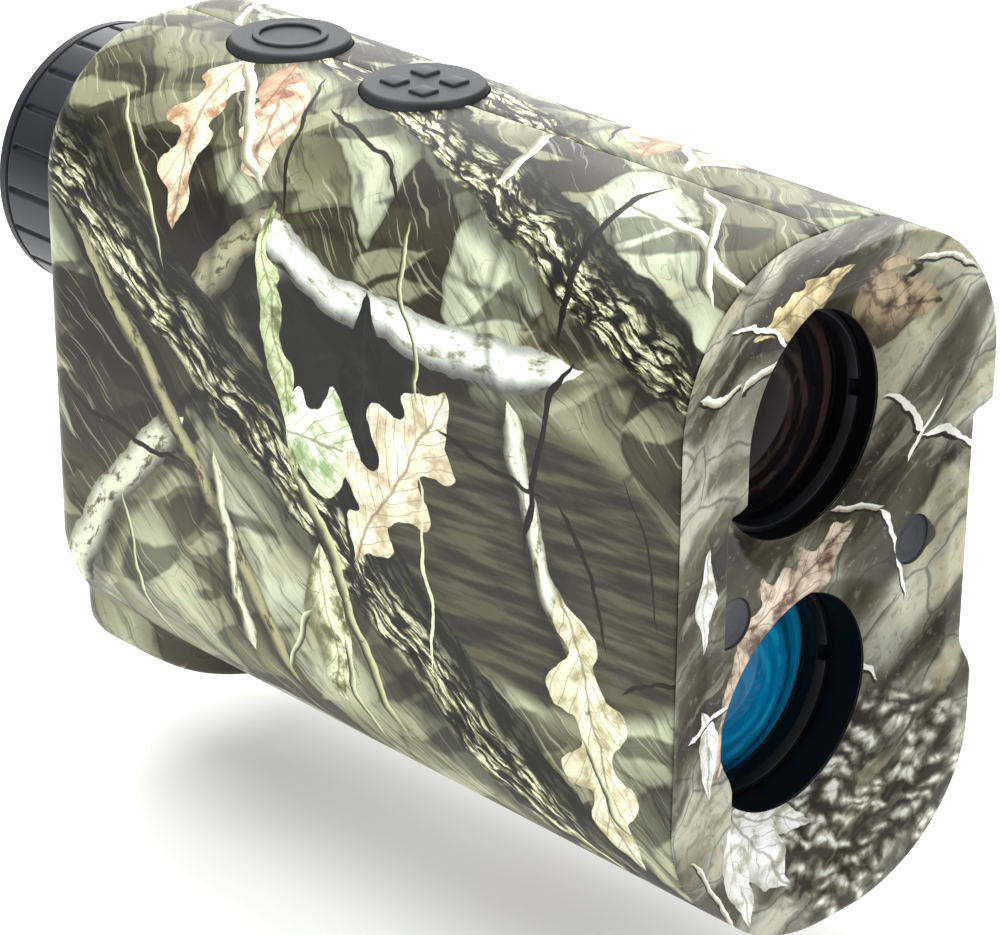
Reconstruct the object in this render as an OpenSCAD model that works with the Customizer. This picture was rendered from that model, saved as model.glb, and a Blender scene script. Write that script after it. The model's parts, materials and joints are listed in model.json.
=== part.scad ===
// Compact laser rangefinder, 6x24 class, in millimetres.
// Axes: the lenses look along -Y, +X is the right side seen from the front, +Z is up.
// Origin: the centre of the tripod thread on the underside.

/* [Body] */
// Width over the two side shells
body_w = 39; // [38.5:0.5:40]
// Height of the main body, without keys and battery cap
body_h = 72; // [72:0.5:74]
// Wall thickness of the shells
wall = 2; // [1.6:0.1:2.1]
// Radius of the two upper long edges
top_r = 16.5; // [15.5:0.5:16.5]
// Radius of the two lower long edges
bottom_r = 16.5; // [15.5:0.5:16.5]
// Y of the joint between the front bezel and the shells
seam_y = -39.3; // [-39.4:0.1:-39.2]
// Y of the rear face
rear_y = 56.4; // [56:0.2:57]

/* [Front bezel] */
// Y of the foremost rim, over the upper lens
rim_y = -45; // [-45.5:0.1:-44.5]
// How far the rim is set back beside the screws
rim_mid_step = 2.2; // [1.5:0.1:2.5]
// How far the rim is set back around the lower lens
rim_low_step = 0.6; // [0.3:0.1:1]
// Width of the rim
rim_w = 3.4; // [3:0.1:3.6]
// Y of the recessed floor
floor_y = -40.7; // [-41:0.1:-40.5]
// Y of the small end of the lens bowls
bowl_y = -36.7; // [-36.8:0.1:-36.7]
// Radius of the lens openings
opening_r = 11.6; // [11.5:0.1:11.6]

/* [Optics] */
// Height of the aiming telescope axis
aim_z = 51.2; // [51:0.1:51.4]
// Height of the receiver axis
receive_z = 21.1; // [21:0.1:21.2]
// Half distance between the two bezel screws
screw_x = 13.2; // [13:0.1:13.3]

/* [Keys] */
// Radius of a key
key_r = 6.45; // [6:0.05:6.45]
// Y of the mode key
mode_key_y = 15.3; // [15:0.1:16]
// Y of the power key
power_key_y = 36; // [35:0.1:36]
// Travel of a key
key_travel = 0.6; // [0.3:0.1:0.6]

/* [Eyepiece] */
// Outer radius of the diopter ring
ring_r = 15.3; // [15:0.1:15.5]
// Grip grooves around the diopter ring
ring_grooves = 20; // [12:1:24]
// Y of the end of the eyecup
eyecup_end_y = 68.4; // [68.2:0.1:69]
// Focus travel of the lens cell to each side
focus_travel = 2.03; // [1:0.01:2.03]

/* [Battery] */
// Y of the battery axis
battery_y = 44; // [43.8:0.1:44]
// Radius of the CR2 cell
battery_r = 7.8; // [7.7:0.05:7.8]
// Length of the CR2 cell
battery_len = 27; // [26.5:0.1:27]
// Radius of the battery cap
cap_r = 10.5; // [10.3:0.1:10.5]

/* [Mounts] */
// Radius of the 1/4 inch tripod thread
tripod_r = 3.175; // [3.175:0.025:3.2]
// Radius of the lanyard bar
lanyard_r = 0.9; // [0.7:0.1:0.9]

/* [Hidden] */
$fn = 96;

// Overlap of solids that are joined, sliding fit and open gap
eps = 0.01;
fit = 0.05;
gap = 0.1;
half_w = body_w / 2;
top_x = half_w - top_r;
bottom_x = half_w - bottom_r;
top_z = body_h - top_r;

upper_step_z = 49.8;
lower_step_z = 22.2;
floor_t = 2.4;
bowl_r = 14.4;
bowl_wall = 0.8;
spigot_t = 1.2;
spigot_len = 3;
plug_r = 2.6;
plug_dish = 0.2;
plug_dish_r = 12;
screw_z = 36.1;
bezel_boss_r = 4;
boss_end_y = -36.3;
post_r = 3;

heel_z = -1.3;
heel_y = 47.6;
heel_r = 14.8;
heel_top = 12;
heel_x = 16.7;
heel_edge_r = 6.6;
heel_back_y = rear_y - 0.3;
tube_flange_r = 10.5;

// (y, z) of the screws that join the shells, and the radius of their bosses
shell_screw_at = [[-28, 5.1], [12, 6], [-6, 66.3], [28, 22], [46.25, 67]];
shell_boss_r = 2.7;
screw_r = 1;
head_r = 2;
head_t = 1.3;
screw_head_x = 11;
screw_tip_x = -7;

cell_r = 13;
cell_front_y = bowl_y + gap;
lens_r = 11.5;
seal_r = 11.45;
seal_bore_r = 10.5;
retainer_bore_r = 10.4;
plate_y = -22;
plate_t = 2.5;
arm_x = 14.2;
holder_z = 40;
holder_h = 22.5;
prism_w = 16;

board_z = 65.6;
board_t = 0.8;
switch_top_z = 67.6;
key_top_z = body_h + 0.7;
key_bevel = 0.5;
key_flange_r = 7.5;
key_flange_z = 68.35;
key_flange_t = 0.7;
mark_h = 0.3;
mark_ring_r = 4;
mark_w = 2.4;
mark_pitch = 4.3;

ring_front_y = rear_y + 0.25;
ring_back_y = eyecup_end_y - 1.2;
barrel_r = 12.6;
barrel_bore_r = 11.25;
barrel_front_y = 30;
barrel_flange_r = 14.3;
eye_lens_r = 9.65;
barrel_end_y = eyecup_end_y - 4.1;
pin_y = 60.4;
pin_r = 0.9;
groove_y = rear_y - 1.2;

cap_len = 1.9;
cap_bottom_z = heel_z;
cap_top_z = cap_bottom_z + cap_len;
tube_z = cap_top_z + gap;
battery_z = cap_top_z + 3.9;
tube_top_z = battery_z + battery_len + 2.9;
skirt_r = 9.4;
skirt_bore_r = 8.2;
tab_z = cap_bottom_z + 0.75;
tab_y = battery_y + 0.6;
tab_w = 11.6;
tab_pin_r = 0.4;
tab_pin_len = 14.8;

bush_r = 5;
bush_h = 8;
bush_bore = 7.5;
bush_boss_r = 6.6;
lanyard_x = 18;
lanyard_y = 46.2;
lanyard_z = 15;
lanyard_len = 10;

// Extra radius of the ball at each bend of a wire
wire_joint = 0.04;

camo = [0.47, 0.46, 0.36];
camo_light = [0.58, 0.55, 0.46];
rubber = [0.16, 0.16, 0.18];
black = [0.09, 0.10, 0.12];
glass = [0.62, 0.72, 0.78];
brass = [0.78, 0.62, 0.30];
steel = [0.72, 0.73, 0.75];
board_green = [0.10, 0.38, 0.22];

// Extrudes a drawing in the XZ plane from y0 to y1
module along_y(y0, y1) {
    translate([0, y1, 0]) rotate([90, 0, 0]) linear_extrude(y1 - y0) children();
}

// Tube or rod along Y around the point (x, z)
module rod_y(r, y0, y1, x = 0, z = 0) {
    translate([x, y0, z]) rotate([-90, 0, 0]) cylinder(r = r, h = y1 - y0);
}

// Solid of revolution around a Y axis; the profile is drawn as (radius, y)
module turned(z) {
    translate([0, 0, z]) rotate([-90, 0, 0]) rotate_extrude() children();
}

// Ring along Y
module ring_y(r_out, r_in, y0, y1, z) {
    difference() {
        rod_y(r_out, y0, y1, 0, z);
        rod_y(r_in, y0 - eps, y1 + eps, 0, z);
    }
}

// Cross-section of the body, drawn in from the outer face
module outline(inset) {
    union() {
        translate([-half_w + inset, bottom_r])
            square([body_w - 2 * inset, body_h - top_r - bottom_r]);
        translate([-top_x, body_h / 2]) square([2 * top_x, body_h / 2 - inset]);
        translate([-bottom_x, inset]) square([2 * bottom_x, body_h / 2 - inset]);
        for (side = [-1, 1]) {
            translate([side * top_x, top_z]) circle(r = top_r - inset);
            translate([side * bottom_x, bottom_r]) circle(r = bottom_r - inset);
        }
    }
}

// Plan of the battery heel: a round battery well that widens to the rear corners
module heel_plan(inset) {
    reach = norm([heel_x, heel_back_y - heel_y]);
    aim = atan2(heel_back_y - heel_y, heel_x);
    touch = aim - acos(heel_r / reach);
    r = heel_r - inset;
    translate([0, heel_y]) circle(r = r);
    polygon([
        [-(heel_x - inset), heel_back_y - inset], [heel_x - inset, heel_back_y - inset],
        [r * cos(touch), heel_y + r * sin(touch)],
        [-r * cos(touch), heel_y + r * sin(touch)]
    ]);
}

// The heel, drawn in from its outer face: its plan cut to a rounded cross-section
module heel(inset) {
    x = heel_x - inset;
    bottom = heel_z + inset;
    corner_x = heel_x - heel_edge_r;
    intersection() {
        translate([0, 0, bottom]) linear_extrude(heel_top - bottom) heel_plan(inset);
        along_y(0, rear_y - inset) union() {
            translate([-x, heel_z + heel_edge_r]) square([2 * x, heel_top]);
            translate([-corner_x, bottom]) square([2 * corner_x, heel_top]);
            for (side = [-1, 1])
                translate([side * corner_x, heel_z + heel_edge_r]) circle(r = heel_edge_r - inset);
        }
    }
}

// Screw bosses, the tripod bush boss and the block round the lanyard pocket
module shell_bosses() {
    intersection() {
        along_y(seam_y + spigot_len + 1, rear_y - 1) outline(wall / 2);
        union() {
            for (at = shell_screw_at)
                translate([-half_w, at[0], at[1]]) rotate([0, 90, 0])
                    cylinder(r = shell_boss_r, h = body_w);
            cylinder(r = bush_boss_r, h = bush_h + 0.2);
            translate([13.4, 41.6, 14]) cube([half_w, 9.6, 12]);
        }
    }
}

// Key holes, eyepiece hole, battery hole, bush hole, screw holes and lanyard pocket
module shell_openings() {
    for (y = [mode_key_y, power_key_y])
        translate([0, y, body_h - wall - 3]) cylinder(r = key_r + 0.08, h = 10);
    rod_y(barrel_r + fit, rear_y - wall - 1, rear_y + 1, 0, aim_z);
    translate([0, battery_y, heel_z - 1]) cylinder(r = tube_flange_r + fit, h = cap_len + 9);
    translate([0, 0, -1]) cylinder(r = bush_r + fit, h = 12);
    for (at = shell_screw_at)
        translate([0, at[0], at[1]]) rotate([0, 90, 0]) {
            translate([0, 0, screw_tip_x - 1]) cylinder(r = screw_r + fit, h = 40);
            translate([0, 0, screw_head_x - fit]) cylinder(r = head_r + 0.1, h = 20);
        }
    translate([15, 43, 17]) cube([half_w, 6.5, 6]);
    translate([lanyard_x, lanyard_y, lanyard_z - gap])
        cylinder(r = lanyard_r + 0.02, h = lanyard_len + 2 * gap);
}

// One shell; side is -1 for the left and 1 for the right
module shell_half(side) {
    difference() {
        union() {
            difference() {
                union() {
                    along_y(seam_y, rear_y) outline(0);
                    heel(0);
                }
                along_y(seam_y - 1, rear_y - wall) outline(wall);
                heel(wall);
            }
            shell_bosses();
        }
        shell_openings();
        translate([side > 0 ? gap / 2 - 40 : -gap / 2, -60, -10]) cube([40, 140, 100]);
    }
}

module left_shell() color(camo) shell_half(-1);

module right_shell() color(camo) shell_half(1);

module front_bezel() color(camo_light) {
    difference() {
        union() {
            difference() {
                along_y(rim_y, seam_y) outline(0);
                along_y(rim_y - 1, seam_y + 1) outline(rim_w);
            }
            along_y(floor_y, floor_y + floor_t) outline(rim_w - gap);
            difference() {
                along_y(floor_y + 0.5, seam_y + spigot_len) outline(wall + gap);
                along_y(floor_y, seam_y + spigot_len + 1) outline(wall + gap + spigot_t);
            }
            for (z = [aim_z, receive_z]) rod_y(bowl_r + bowl_wall, floor_y, bowl_y, 0, z);
            for (side = [-1, 1]) rod_y(bezel_boss_r, floor_y, boss_end_y, side * screw_x, screw_z);
        }
        translate([-40, rim_y - 1, lower_step_z])
            cube([80, rim_mid_step + 1, upper_step_z - lower_step_z]);
        translate([-40, rim_y - 1, -10]) cube([80, rim_low_step + 1, lower_step_z + 10 + eps]);
        for (z = [aim_z, receive_z]) {
            translate([0, floor_y, z]) rotate([-90, 0, 0])
                cylinder(r1 = bowl_r, r2 = opening_r, h = bowl_y - floor_y);
            rod_y(opening_r, floor_y, bowl_y + 1, 0, z);
            rod_y(bowl_r, rim_y, floor_y + eps, 0, z);
        }
        for (side = [-1, 1]) {
            rod_y(plug_r + fit, floor_y - 1, floor_y + 2.7, side * screw_x, screw_z);
            rod_y(screw_r + 0.15, floor_y, boss_end_y + 1, side * screw_x, screw_z);
        }
    }
}

module bezel_plugs() color(black)
    for (side = [-1, 1]) difference() {
        rod_y(plug_r, floor_y + gap, floor_y + 1, side * screw_x, screw_z);
        translate([side * screw_x, floor_y + plug_dish - plug_dish_r, screw_z])
            sphere(r = plug_dish_r);
    }

// Cross-head screw that points to +Y, with the face of its head at y0
module screw_y(x, z, y0, length) {
    difference() {
        union() {
            rod_y(head_r, y0, y0 + head_t, x, z);
            rod_y(screw_r, y0 + head_t - eps, y0 + length, x, z);
        }
        for (turn = [0, 90])
            translate([x, y0, z]) rotate([0, turn, 0]) cube([2.2, 1.2, 0.5], center = true);
    }
}

module bezel_screws() color(steel)
    for (side = [-1, 1]) screw_y(side * screw_x, screw_z, floor_y + 1.3, 11);

module shell_screws() color(steel)
    for (at = shell_screw_at) translate([0, at[0], at[1]]) rotate([0, 90, 0])
        difference() {
            union() {
                translate([0, 0, screw_tip_x]) cylinder(r = screw_r, h = screw_head_x - screw_tip_x);
                translate([0, 0, screw_head_x - eps]) cylinder(r = head_r, h = head_t);
            }
            for (turn = [0, 90])
                translate([0, 0, screw_head_x + head_t]) rotate([0, 0, turn])
                    cube([2.2, 0.5, 1.2], center = true);
        }

// Rubber key: cap through the roof, flange under it, stem over its switch
module key(y) {
    translate([0, y, 0]) {
        translate([0, 0, key_flange_z]) cylinder(r = key_flange_r, h = key_flange_t);
        translate([0, 0, key_flange_z + key_flange_t - fit])
            cylinder(r = key_r, h = key_top_z - key_flange_z - key_flange_t + fit - key_bevel);
        translate([0, 0, key_top_z - key_bevel])
            cylinder(r1 = key_r, r2 = key_r - key_bevel, h = key_bevel);
        translate([0, 0, switch_top_z + key_travel + 0.05]) cylinder(r = 1.5, h = 1);
    }
}

module power_button() color(rubber) {
    key(power_key_y);
    translate([0, power_key_y, key_top_z - eps]) difference() {
        cylinder(r = mark_ring_r, h = mark_h);
        translate([0, 0, -1]) cylinder(r = mark_ring_r - 0.7, h = 2);
    }
}

module mode_button() color(rubber) {
    key(mode_key_y);
    for (i = [-0.5, 0.5], j = [-0.5, 0.5])
        translate([i * mark_pitch, mode_key_y + j * mark_pitch, key_top_z - eps])
            translate([-mark_w / 2, -mark_w / 2, 0]) cube([mark_w, mark_w, mark_h]);
}

module switch_board() color(board_green)
    translate([-6.5, 8, board_z]) cube([13, 34.2, board_t]);

module tact_switches() color(steel)
    for (y = [mode_key_y, power_key_y]) translate([0, y, board_z + board_t + eps]) {
        translate([-2.3, -2.3, 0]) cube([4.6, 4.6, 0.8]);
        cylinder(r = 0.9, h = switch_top_z - board_z - board_t - eps);
    }

module flex_cable() color([0.75, 0.45, 0.10])
    along_y(14, 20) polygon([
        [6.6, 66.1], [10.6, 65.2], [14.7, 60.7], [15.5, 56.2], [15.5, 53],
        [15.3, 53], [15.3, 56.1], [14.5, 60.6], [10.5, 65], [6.6, 65.9]
    ]);

// Lens barrel with a bore for the lens, a seat at seat_y and a flange on the chassis
module lens_cell(z, seat_y, end_y) {
    difference() {
        union() {
            rod_y(cell_r, cell_front_y, end_y, 0, z);
            rod_y(cell_r + 1.2, plate_y - 2.4, plate_y - gap, 0, z);
        }
        rod_y(lens_r + 0.1, cell_front_y - 1, seat_y, 0, z);
        rod_y(lens_r - 1.3, seat_y - 1, end_y + 1, 0, z);
        for (i = [1 : 3]) rod_y(lens_r - 0.7, seat_y + 2.2 * i, seat_y + 2.2 * i + 1.1, 0, z);
    }
}

// Threaded retaining ring with two spanner slots
module retainer(z, y0, y1, r_out, r_in) {
    difference() {
        ring_y(r_out, r_in, y0, y1, z);
        translate([-r_out - 1, y0 - 1, z - 0.9]) cube([2 * r_out + 2, 1.8, 1.8]);
    }
}

// Biconvex lens of radius r with its apexes at y0 and y1; front_r and back_r are
// the radii of its two faces
module biconvex(z, r, y0, y1, front_r, back_r) {
    intersection() {
        translate([0, y0 + front_r, z]) sphere(r = front_r, $fn = 180);
        translate([0, y1 - back_r, z]) sphere(r = back_r, $fn = 180);
        rod_y(r, y0 - 1, y1 + 1, 0, z);
    }
}

module objective_cell() color(black) lens_cell(aim_z, -25.95, -14);

module objective_crown() color(glass) biconvex(aim_z, lens_r, -33.2, -28, 40, 30);

module objective_flint() color(glass)
    difference() {
        rod_y(lens_r, -30.27, -26, 0, aim_z);
        translate([0, -28.02 - 30 + 0.05, aim_z]) sphere(r = 30.02);
    }

module objective_retainer() color(black)
    retainer(aim_z, -34.6, -32.25, lens_r + fit, retainer_bore_r);

module objective_seal() color(rubber)
    ring_y(seal_r, seal_bore_r, -32.2, -31.9, aim_z);

module receiver_cell() color(black) lens_cell(receive_z, -26.2, -13);

module receiver_lens() color([0.10, 0.45, 0.62])
    biconvex(receive_z, lens_r, -31.8, -25.6, 24, 80);

module receiver_retainer() color(black)
    retainer(receive_z, -32.3, -29.9, lens_r + fit, retainer_bore_r);

module receiver_seal() color(rubber)
    ring_y(seal_r, seal_bore_r, -29.85, -29.55, receive_z);

module optical_chassis() color([0.30, 0.31, 0.33]) {
    difference() {
        union() {
            along_y(plate_y, plate_y + plate_t) outline(wall + 0.4);
            for (side = [-1, 1]) {
                rod_y(post_r, boss_end_y + gap, plate_y + eps, side * screw_x, screw_z);
                translate([side * arm_x - 1, plate_y + plate_t - eps, 39])
                    cube([2, 23.9 - plate_y - plate_t, 10]);
                translate([side * arm_x - 1, plate_y + plate_t - eps, 24])
                    cube([2, 5.9 - plate_y - plate_t, 6]);
            }
        }
        for (z = [aim_z, receive_z]) rod_y(cell_r + fit, plate_y - 1, plate_y + plate_t + 1, 0, z);
        for (side = [-1, 1])
            rod_y(screw_r + fit, boss_end_y - 1, boss_end_y + 12, side * screw_x, screw_z);
    }
}

module prism_holder() color(black)
    difference() {
        union() {
            translate([-11, -12, holder_z]) cube([22, 34, holder_h]);
            for (side = [-1, 1]) translate([side * 12 - 1.1, 0, 42]) cube([2.2, 6, 4]);
            for (y = [10, 19]) translate([-3, y, holder_z + holder_h - 0.5])
                cube([6, 2, board_z - holder_z - holder_h + 0.5 - gap]);
        }
        translate([-9, -11, holder_z + 1.5]) cube([18, 32, holder_h - 3]);
        rod_y(8.6, -13, 0, 0, aim_z);
        rod_y(8, 10, 23, 0, aim_z);
        translate([0, -1, 38]) cylinder(r = 3.2, h = 5);
    }

// Prism drawn in the YZ plane, w wide in X
module prism_block(points, w) {
    translate([-w / 2, 0, 0]) rotate([90, 0, 90]) linear_extrude(w) polygon(points);
}

module front_prism() color(glass)
    prism_block([[-10.5, 42.5], [-10.5, 60], [-4, 60], [3.5, 48], [3.5, 42.5]], prism_w);

module roof_prism() color(glass)
    difference() {
        prism_block([[-3.2, 60.2], [4.3, 48.2], [4.3, 43], [20, 43], [20, 60.2]], prism_w);
        for (side = [-1, 1])
            translate([side * prism_w / 2, 0, 62]) rotate([0, side * 45, 0])
                cube([8, 50, 8], center = true);
    }

module prism_clip() color(steel) translate([-6, -6, 60.35]) cube([12, 22, 0.4]);

module laser_board() color(board_green) translate([-9, -9, 33.2]) cube([18, 14, 0.9]);

module laser_diode() color(brass) translate([0, -1, 34.15]) {
    cylinder(r = 2.8, h = 0.5);
    cylinder(r = 2.3, h = 3.3);
}

module laser_lens() color(glass) translate([0, -1, 0])
    intersection() {
        translate([0, 0, 37.9]) cylinder(r = 2.9, h = 2.2);
        translate([0, 0, 39.7 - 6]) sphere(r = 6);
    }

module detector() color(brass) {
    rod_y(4.1, 2.05, 5.2, 0, receive_z);
    rod_y(4.6, 5.2 - eps, 5.9, 0, receive_z);
}

module band_filter() color([0.35, 0.10, 0.12]) rod_y(3.8, 1, 2, 0, receive_z);

module receiver_board() color(board_green) translate([-14.3, 6, 9.8]) cube([28.6, 1.2, 22.7]);

module receiver_shield() color(steel)
    difference() {
        translate([-9, 7.3, 12]) cube([18, 5, 18]);
        translate([-8.6, 7, 12.4]) cube([17.2, 4.9, 17.2]);
    }

module lcd_frame() color(black)
    difference() {
        translate([-12, 24, aim_z - 12]) cube([24, 5, 24]);
        translate([-7, 23, aim_z - 7]) cube([14, 7, 14]);
        translate([-8.7, 25.95, aim_z - 8.7]) cube([17.4, 4, 17.4]);
    }

module lcd_panel() color([0.55, 0.60, 0.58])
    translate([-8.6, 26, aim_z - 8.6]) cube([17.2, 1.1, 17.2]);

module eyepiece_barrel() color(black)
    difference() {
        union() {
            rod_y(barrel_r, barrel_front_y, barrel_end_y, 0, aim_z);
            rod_y(barrel_flange_r, rear_y - wall - 2.5, rear_y - wall - gap, 0, aim_z);
        }
        rod_y(barrel_bore_r, barrel_front_y - 1, barrel_end_y + 1, 0, aim_z);
        ring_y(barrel_r + 1, 11.85, groove_y - 0.4, groove_y + 0.4, aim_z);
        translate([-20, pin_y - focus_travel - pin_r - 0.15, aim_z - pin_r - 0.1])
            cube([40, 2 * (focus_travel + pin_r + 0.15), 2 * pin_r + 0.2]);
    }

module eyepiece_seal() color(rubber)
    turned(aim_z) translate([12.25, groove_y]) circle(r = 0.34);

module eyepiece_cell() color(black)
    difference() {
        rod_y(barrel_bore_r - fit, pin_y - 13, pin_y + 2, 0, aim_z);
        rod_y(9.2, pin_y - 14, pin_y + 3, 0, aim_z);
        rod_y(eye_lens_r + fit, pin_y - 14, pin_y - 8.8, 0, aim_z);
        rod_y(eye_lens_r + fit, pin_y - 3.6, pin_y + 3, 0, aim_z);
        translate([-20, pin_y, aim_z]) rotate([0, 90, 0]) cylinder(r = pin_r + 0.02, h = 40);
    }

module field_lens() color(glass)
    biconvex(aim_z, eye_lens_r, pin_y - 12.2, pin_y - 8.9, 60, 32);

module eye_lens() color(glass)
    biconvex(aim_z, eye_lens_r, pin_y - 3.5, pin_y + 0.4, 26, 60);

module eyepiece_retainer() color(black)
    retainer(aim_z, pin_y + 0.35, pin_y + 1.6, eye_lens_r, 8.7);

module focus_pins() color(steel)
    for (side = [-1, 1])
        translate([side * 10.05, pin_y, aim_z]) rotate([0, side * 90, 0])
            cylinder(r = pin_r, h = 3.3);

module diopter_ring() color(black)
    difference() {
        union() {
            rod_y(ring_r, ring_front_y + 0.5, ring_back_y - 0.4, 0, aim_z);
            rod_y(ring_r - 0.4, ring_front_y, ring_back_y, 0, aim_z);
        }
        rod_y(barrel_r + 0.08, ring_front_y - 1, ring_back_y + 1, 0, aim_z);
        rod_y(13.7, pin_y - 3.1, pin_y + 3.1, 0, aim_z);
        for (i = [0 : ring_grooves - 1])
            translate([0, ring_front_y + 1, aim_z]) rotate([0, 360 / ring_grooves * (i + 0.5), 0])
                translate([ring_r - 0.3, 0, -0.25]) cube([1, ring_back_y - ring_front_y - 1.8, 0.5]);
    }

module eyecup() color(rubber)
    turned(aim_z) polygon([
        [9.6, ring_back_y - 2.2], [12.6, ring_back_y - 2.2], [12.6, ring_back_y + 0.02],
        [ring_r - 0.2, ring_back_y + 0.02], [ring_r - 0.2, eyecup_end_y - 0.4],
        [ring_r - 0.6, eyecup_end_y], [13.4, eyecup_end_y], [9.6, ring_back_y - 0.6]
    ]);

module main_board() color(board_green) translate([15.6, -17, 14]) cube([1, 39, 42]);

// Corner (y, z) and size (y, z, x) of every package on the inner face of the main board
chips = [[-10, 31.5, 8, 6.5, 1], [4, 31.5, 8, 6, 1.2], [-8, 15, 5, 5, 0.9],
    [8, 15, 4, 4, 2], [15, 31.5, 3, 5, 1.4], [-14, 50.5, 6, 4, 0.9], [0, 50.5, 5, 4, 0.8]];

module board_chips() color(black)
    for (c = chips) translate([15.6 - eps - c[4], c[0], c[1]]) cube([c[4], c[2], c[3]]);

// Round wire through a list of points
module wire(points, r) {
    for (i = [0 : len(points) - 2]) {
        step = points[i + 1] - points[i];
        length = norm(step);
        translate(points[i]) {
            sphere(r = r + wire_joint);
            rotate([0, acos(step[2] / length), atan2(step[1], step[0])])
                cylinder(r = r, h = length);
        }
    }
    translate(points[len(points) - 1]) sphere(r = r + wire_joint);
}

module wiring() color([0.65, 0.12, 0.10]) {
    wire([[3, 42, 35.4], [8, 33, 36], [13.5, 24, 31], [15, 20, 24]], 0.5);
    wire([[-3, 42, 35.4], [2, 31, 36], [12.5, 24.5, 27], [15, 20.5, 20]], 0.5);
    wire([[9.4, 1, 33.65], [12, 1, 35], [15.2, 1, 35.5]], 0.35);
    wire([[13.5, 7.6, 20.5], [15.2, 7.8, 24]], 0.35);
}

// Moulded battery well; the wide mouth takes the threaded skirt of the cap
module battery_tube() color(black)
    translate([0, battery_y, 0]) difference() {
        union() {
            translate([0, 0, tube_z]) cylinder(r = tube_flange_r, h = 6.6);
            translate([0, 0, tube_z]) cylinder(r = skirt_r, h = tube_top_z - tube_z);
        }
        translate([0, 0, tube_z - 1]) cylinder(r = skirt_r + fit, h = 6.2);
        translate([0, 0, tube_z]) cylinder(r = battery_r + 0.25, h = tube_top_z - 1.5 - tube_z);
    }

module battery_spring() color(steel)
    translate([0, battery_y, battery_z + battery_len]) {
        translate([0, 0, 1]) cylinder(r = 5.5, h = 0.3);
        translate([0, 0, 0.1]) cylinder(r1 = 1.6, r2 = 2.6, h = 0.9 + eps);
    }

module battery() color([0.25, 0.42, 0.62])
    translate([0, battery_y, battery_z]) {
        cylinder(r = battery_r, h = battery_len - 1.2);
        cylinder(r = 3.2, h = battery_len);
    }

module cap_contact() color(brass)
    translate([0, battery_y, cap_top_z]) {
        translate([0, 0, 0.05]) cylinder(r = 6, h = 0.4);
        translate([0, 0, 0.44]) cylinder(r1 = 5, r2 = 2.5, h = 3.4);
    }

// Screw-in cap with a pocket and a hinge groove for its tab
module battery_cap() color(camo)
    difference() {
        translate([0, battery_y, 0]) {
            translate([0, 0, cap_bottom_z]) cylinder(r = cap_r, h = cap_len);
            difference() {
                translate([0, 0, cap_top_z - eps]) cylinder(r = skirt_r, h = 5);
                translate([0, 0, cap_top_z]) cylinder(r = skirt_bore_r, h = 7);
                difference() {
                    translate([0, 0, cap_top_z + 0.35]) cylinder(r = 12, h = 0.8);
                    translate([0, 0, cap_top_z]) cylinder(r = skirt_r - 0.63, h = 4);
                }
            }
        }
        intersection() {
            translate([0, battery_y, cap_bottom_z - 1]) cylinder(r = 8.8, h = 2.1);
            translate([-tab_w / 2 - 0.2, tab_y - 0.9, cap_bottom_z - 1]) cube([tab_w + 0.4, 12, 4]);
        }
        translate([-tab_w / 2 - 0.2, tab_y, tab_z]) rotate([0, 90, 0])
            cylinder(r = 0.9, h = tab_w + 0.4);
        translate([-7.5, tab_y, tab_z]) rotate([0, 90, 0]) cylinder(r = tab_pin_r + 0.02, h = 15);
    }

module cap_seal() color(rubber)
    translate([0, battery_y, cap_top_z + 0.75]) rotate_extrude()
        translate([skirt_r - 0.31, 0]) circle(r = 0.3);

module cap_tab() color(rubber)
    difference() {
        union() {
            intersection() {
                translate([0, battery_y, cap_bottom_z + 0.05]) cylinder(r = 8.6, h = 0.9);
                translate([-tab_w / 2, tab_y, cap_bottom_z]) cube([tab_w, 12, 2]);
            }
            translate([-tab_w / 2, tab_y, tab_z]) rotate([0, 90, 0]) cylinder(r = 0.7, h = tab_w);
        }
        translate([-8, tab_y, tab_z]) rotate([0, 90, 0]) cylinder(r = tab_pin_r + fit, h = 16);
    }

module cap_tab_pin() color(steel)
    translate([-tab_pin_len / 2, tab_y, tab_z]) rotate([0, 90, 0])
        cylinder(r = tab_pin_r, h = tab_pin_len);

module tripod_bush() color(brass)
    difference() {
        union() {
            cylinder(r = bush_r, h = bush_h + 0.4);
            translate([0, 0, bush_h + 0.25]) cylinder(r = bush_boss_r - 0.4, h = 0.5);
        }
        translate([0, 0, -1]) cylinder(r = tripod_r, h = bush_bore + 1);
    }

module lanyard_bar() color(steel)
    translate([lanyard_x, lanyard_y, lanyard_z]) cylinder(r = lanyard_r, h = lanyard_len);

left_shell();
right_shell();
front_bezel();
bezel_plugs();
bezel_screws();
shell_screws();
power_button();
mode_button();
switch_board();
tact_switches();
flex_cable();
objective_cell();
objective_crown();
objective_flint();
objective_retainer();
objective_seal();
receiver_cell();
receiver_lens();
receiver_retainer();
receiver_seal();
optical_chassis();
prism_holder();
front_prism();
roof_prism();
prism_clip();
laser_diode();
laser_lens();
laser_board();
detector();
band_filter();
receiver_board();
receiver_shield();
lcd_panel();
lcd_frame();
eyepiece_barrel();
eyepiece_seal();
eyepiece_cell();
field_lens();
eye_lens();
eyepiece_retainer();
focus_pins();
diopter_ring();
eyecup();
main_board();
board_chips();
wiring();
battery_tube();
battery_spring();
battery();
cap_contact();
battery_cap();
cap_seal();
cap_tab();
cap_tab_pin();
tripod_bush();
lanyard_bar();
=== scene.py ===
import json
import math

import bmesh
import bpy
import numpy as np
from mathutils import Matrix, Vector

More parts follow.
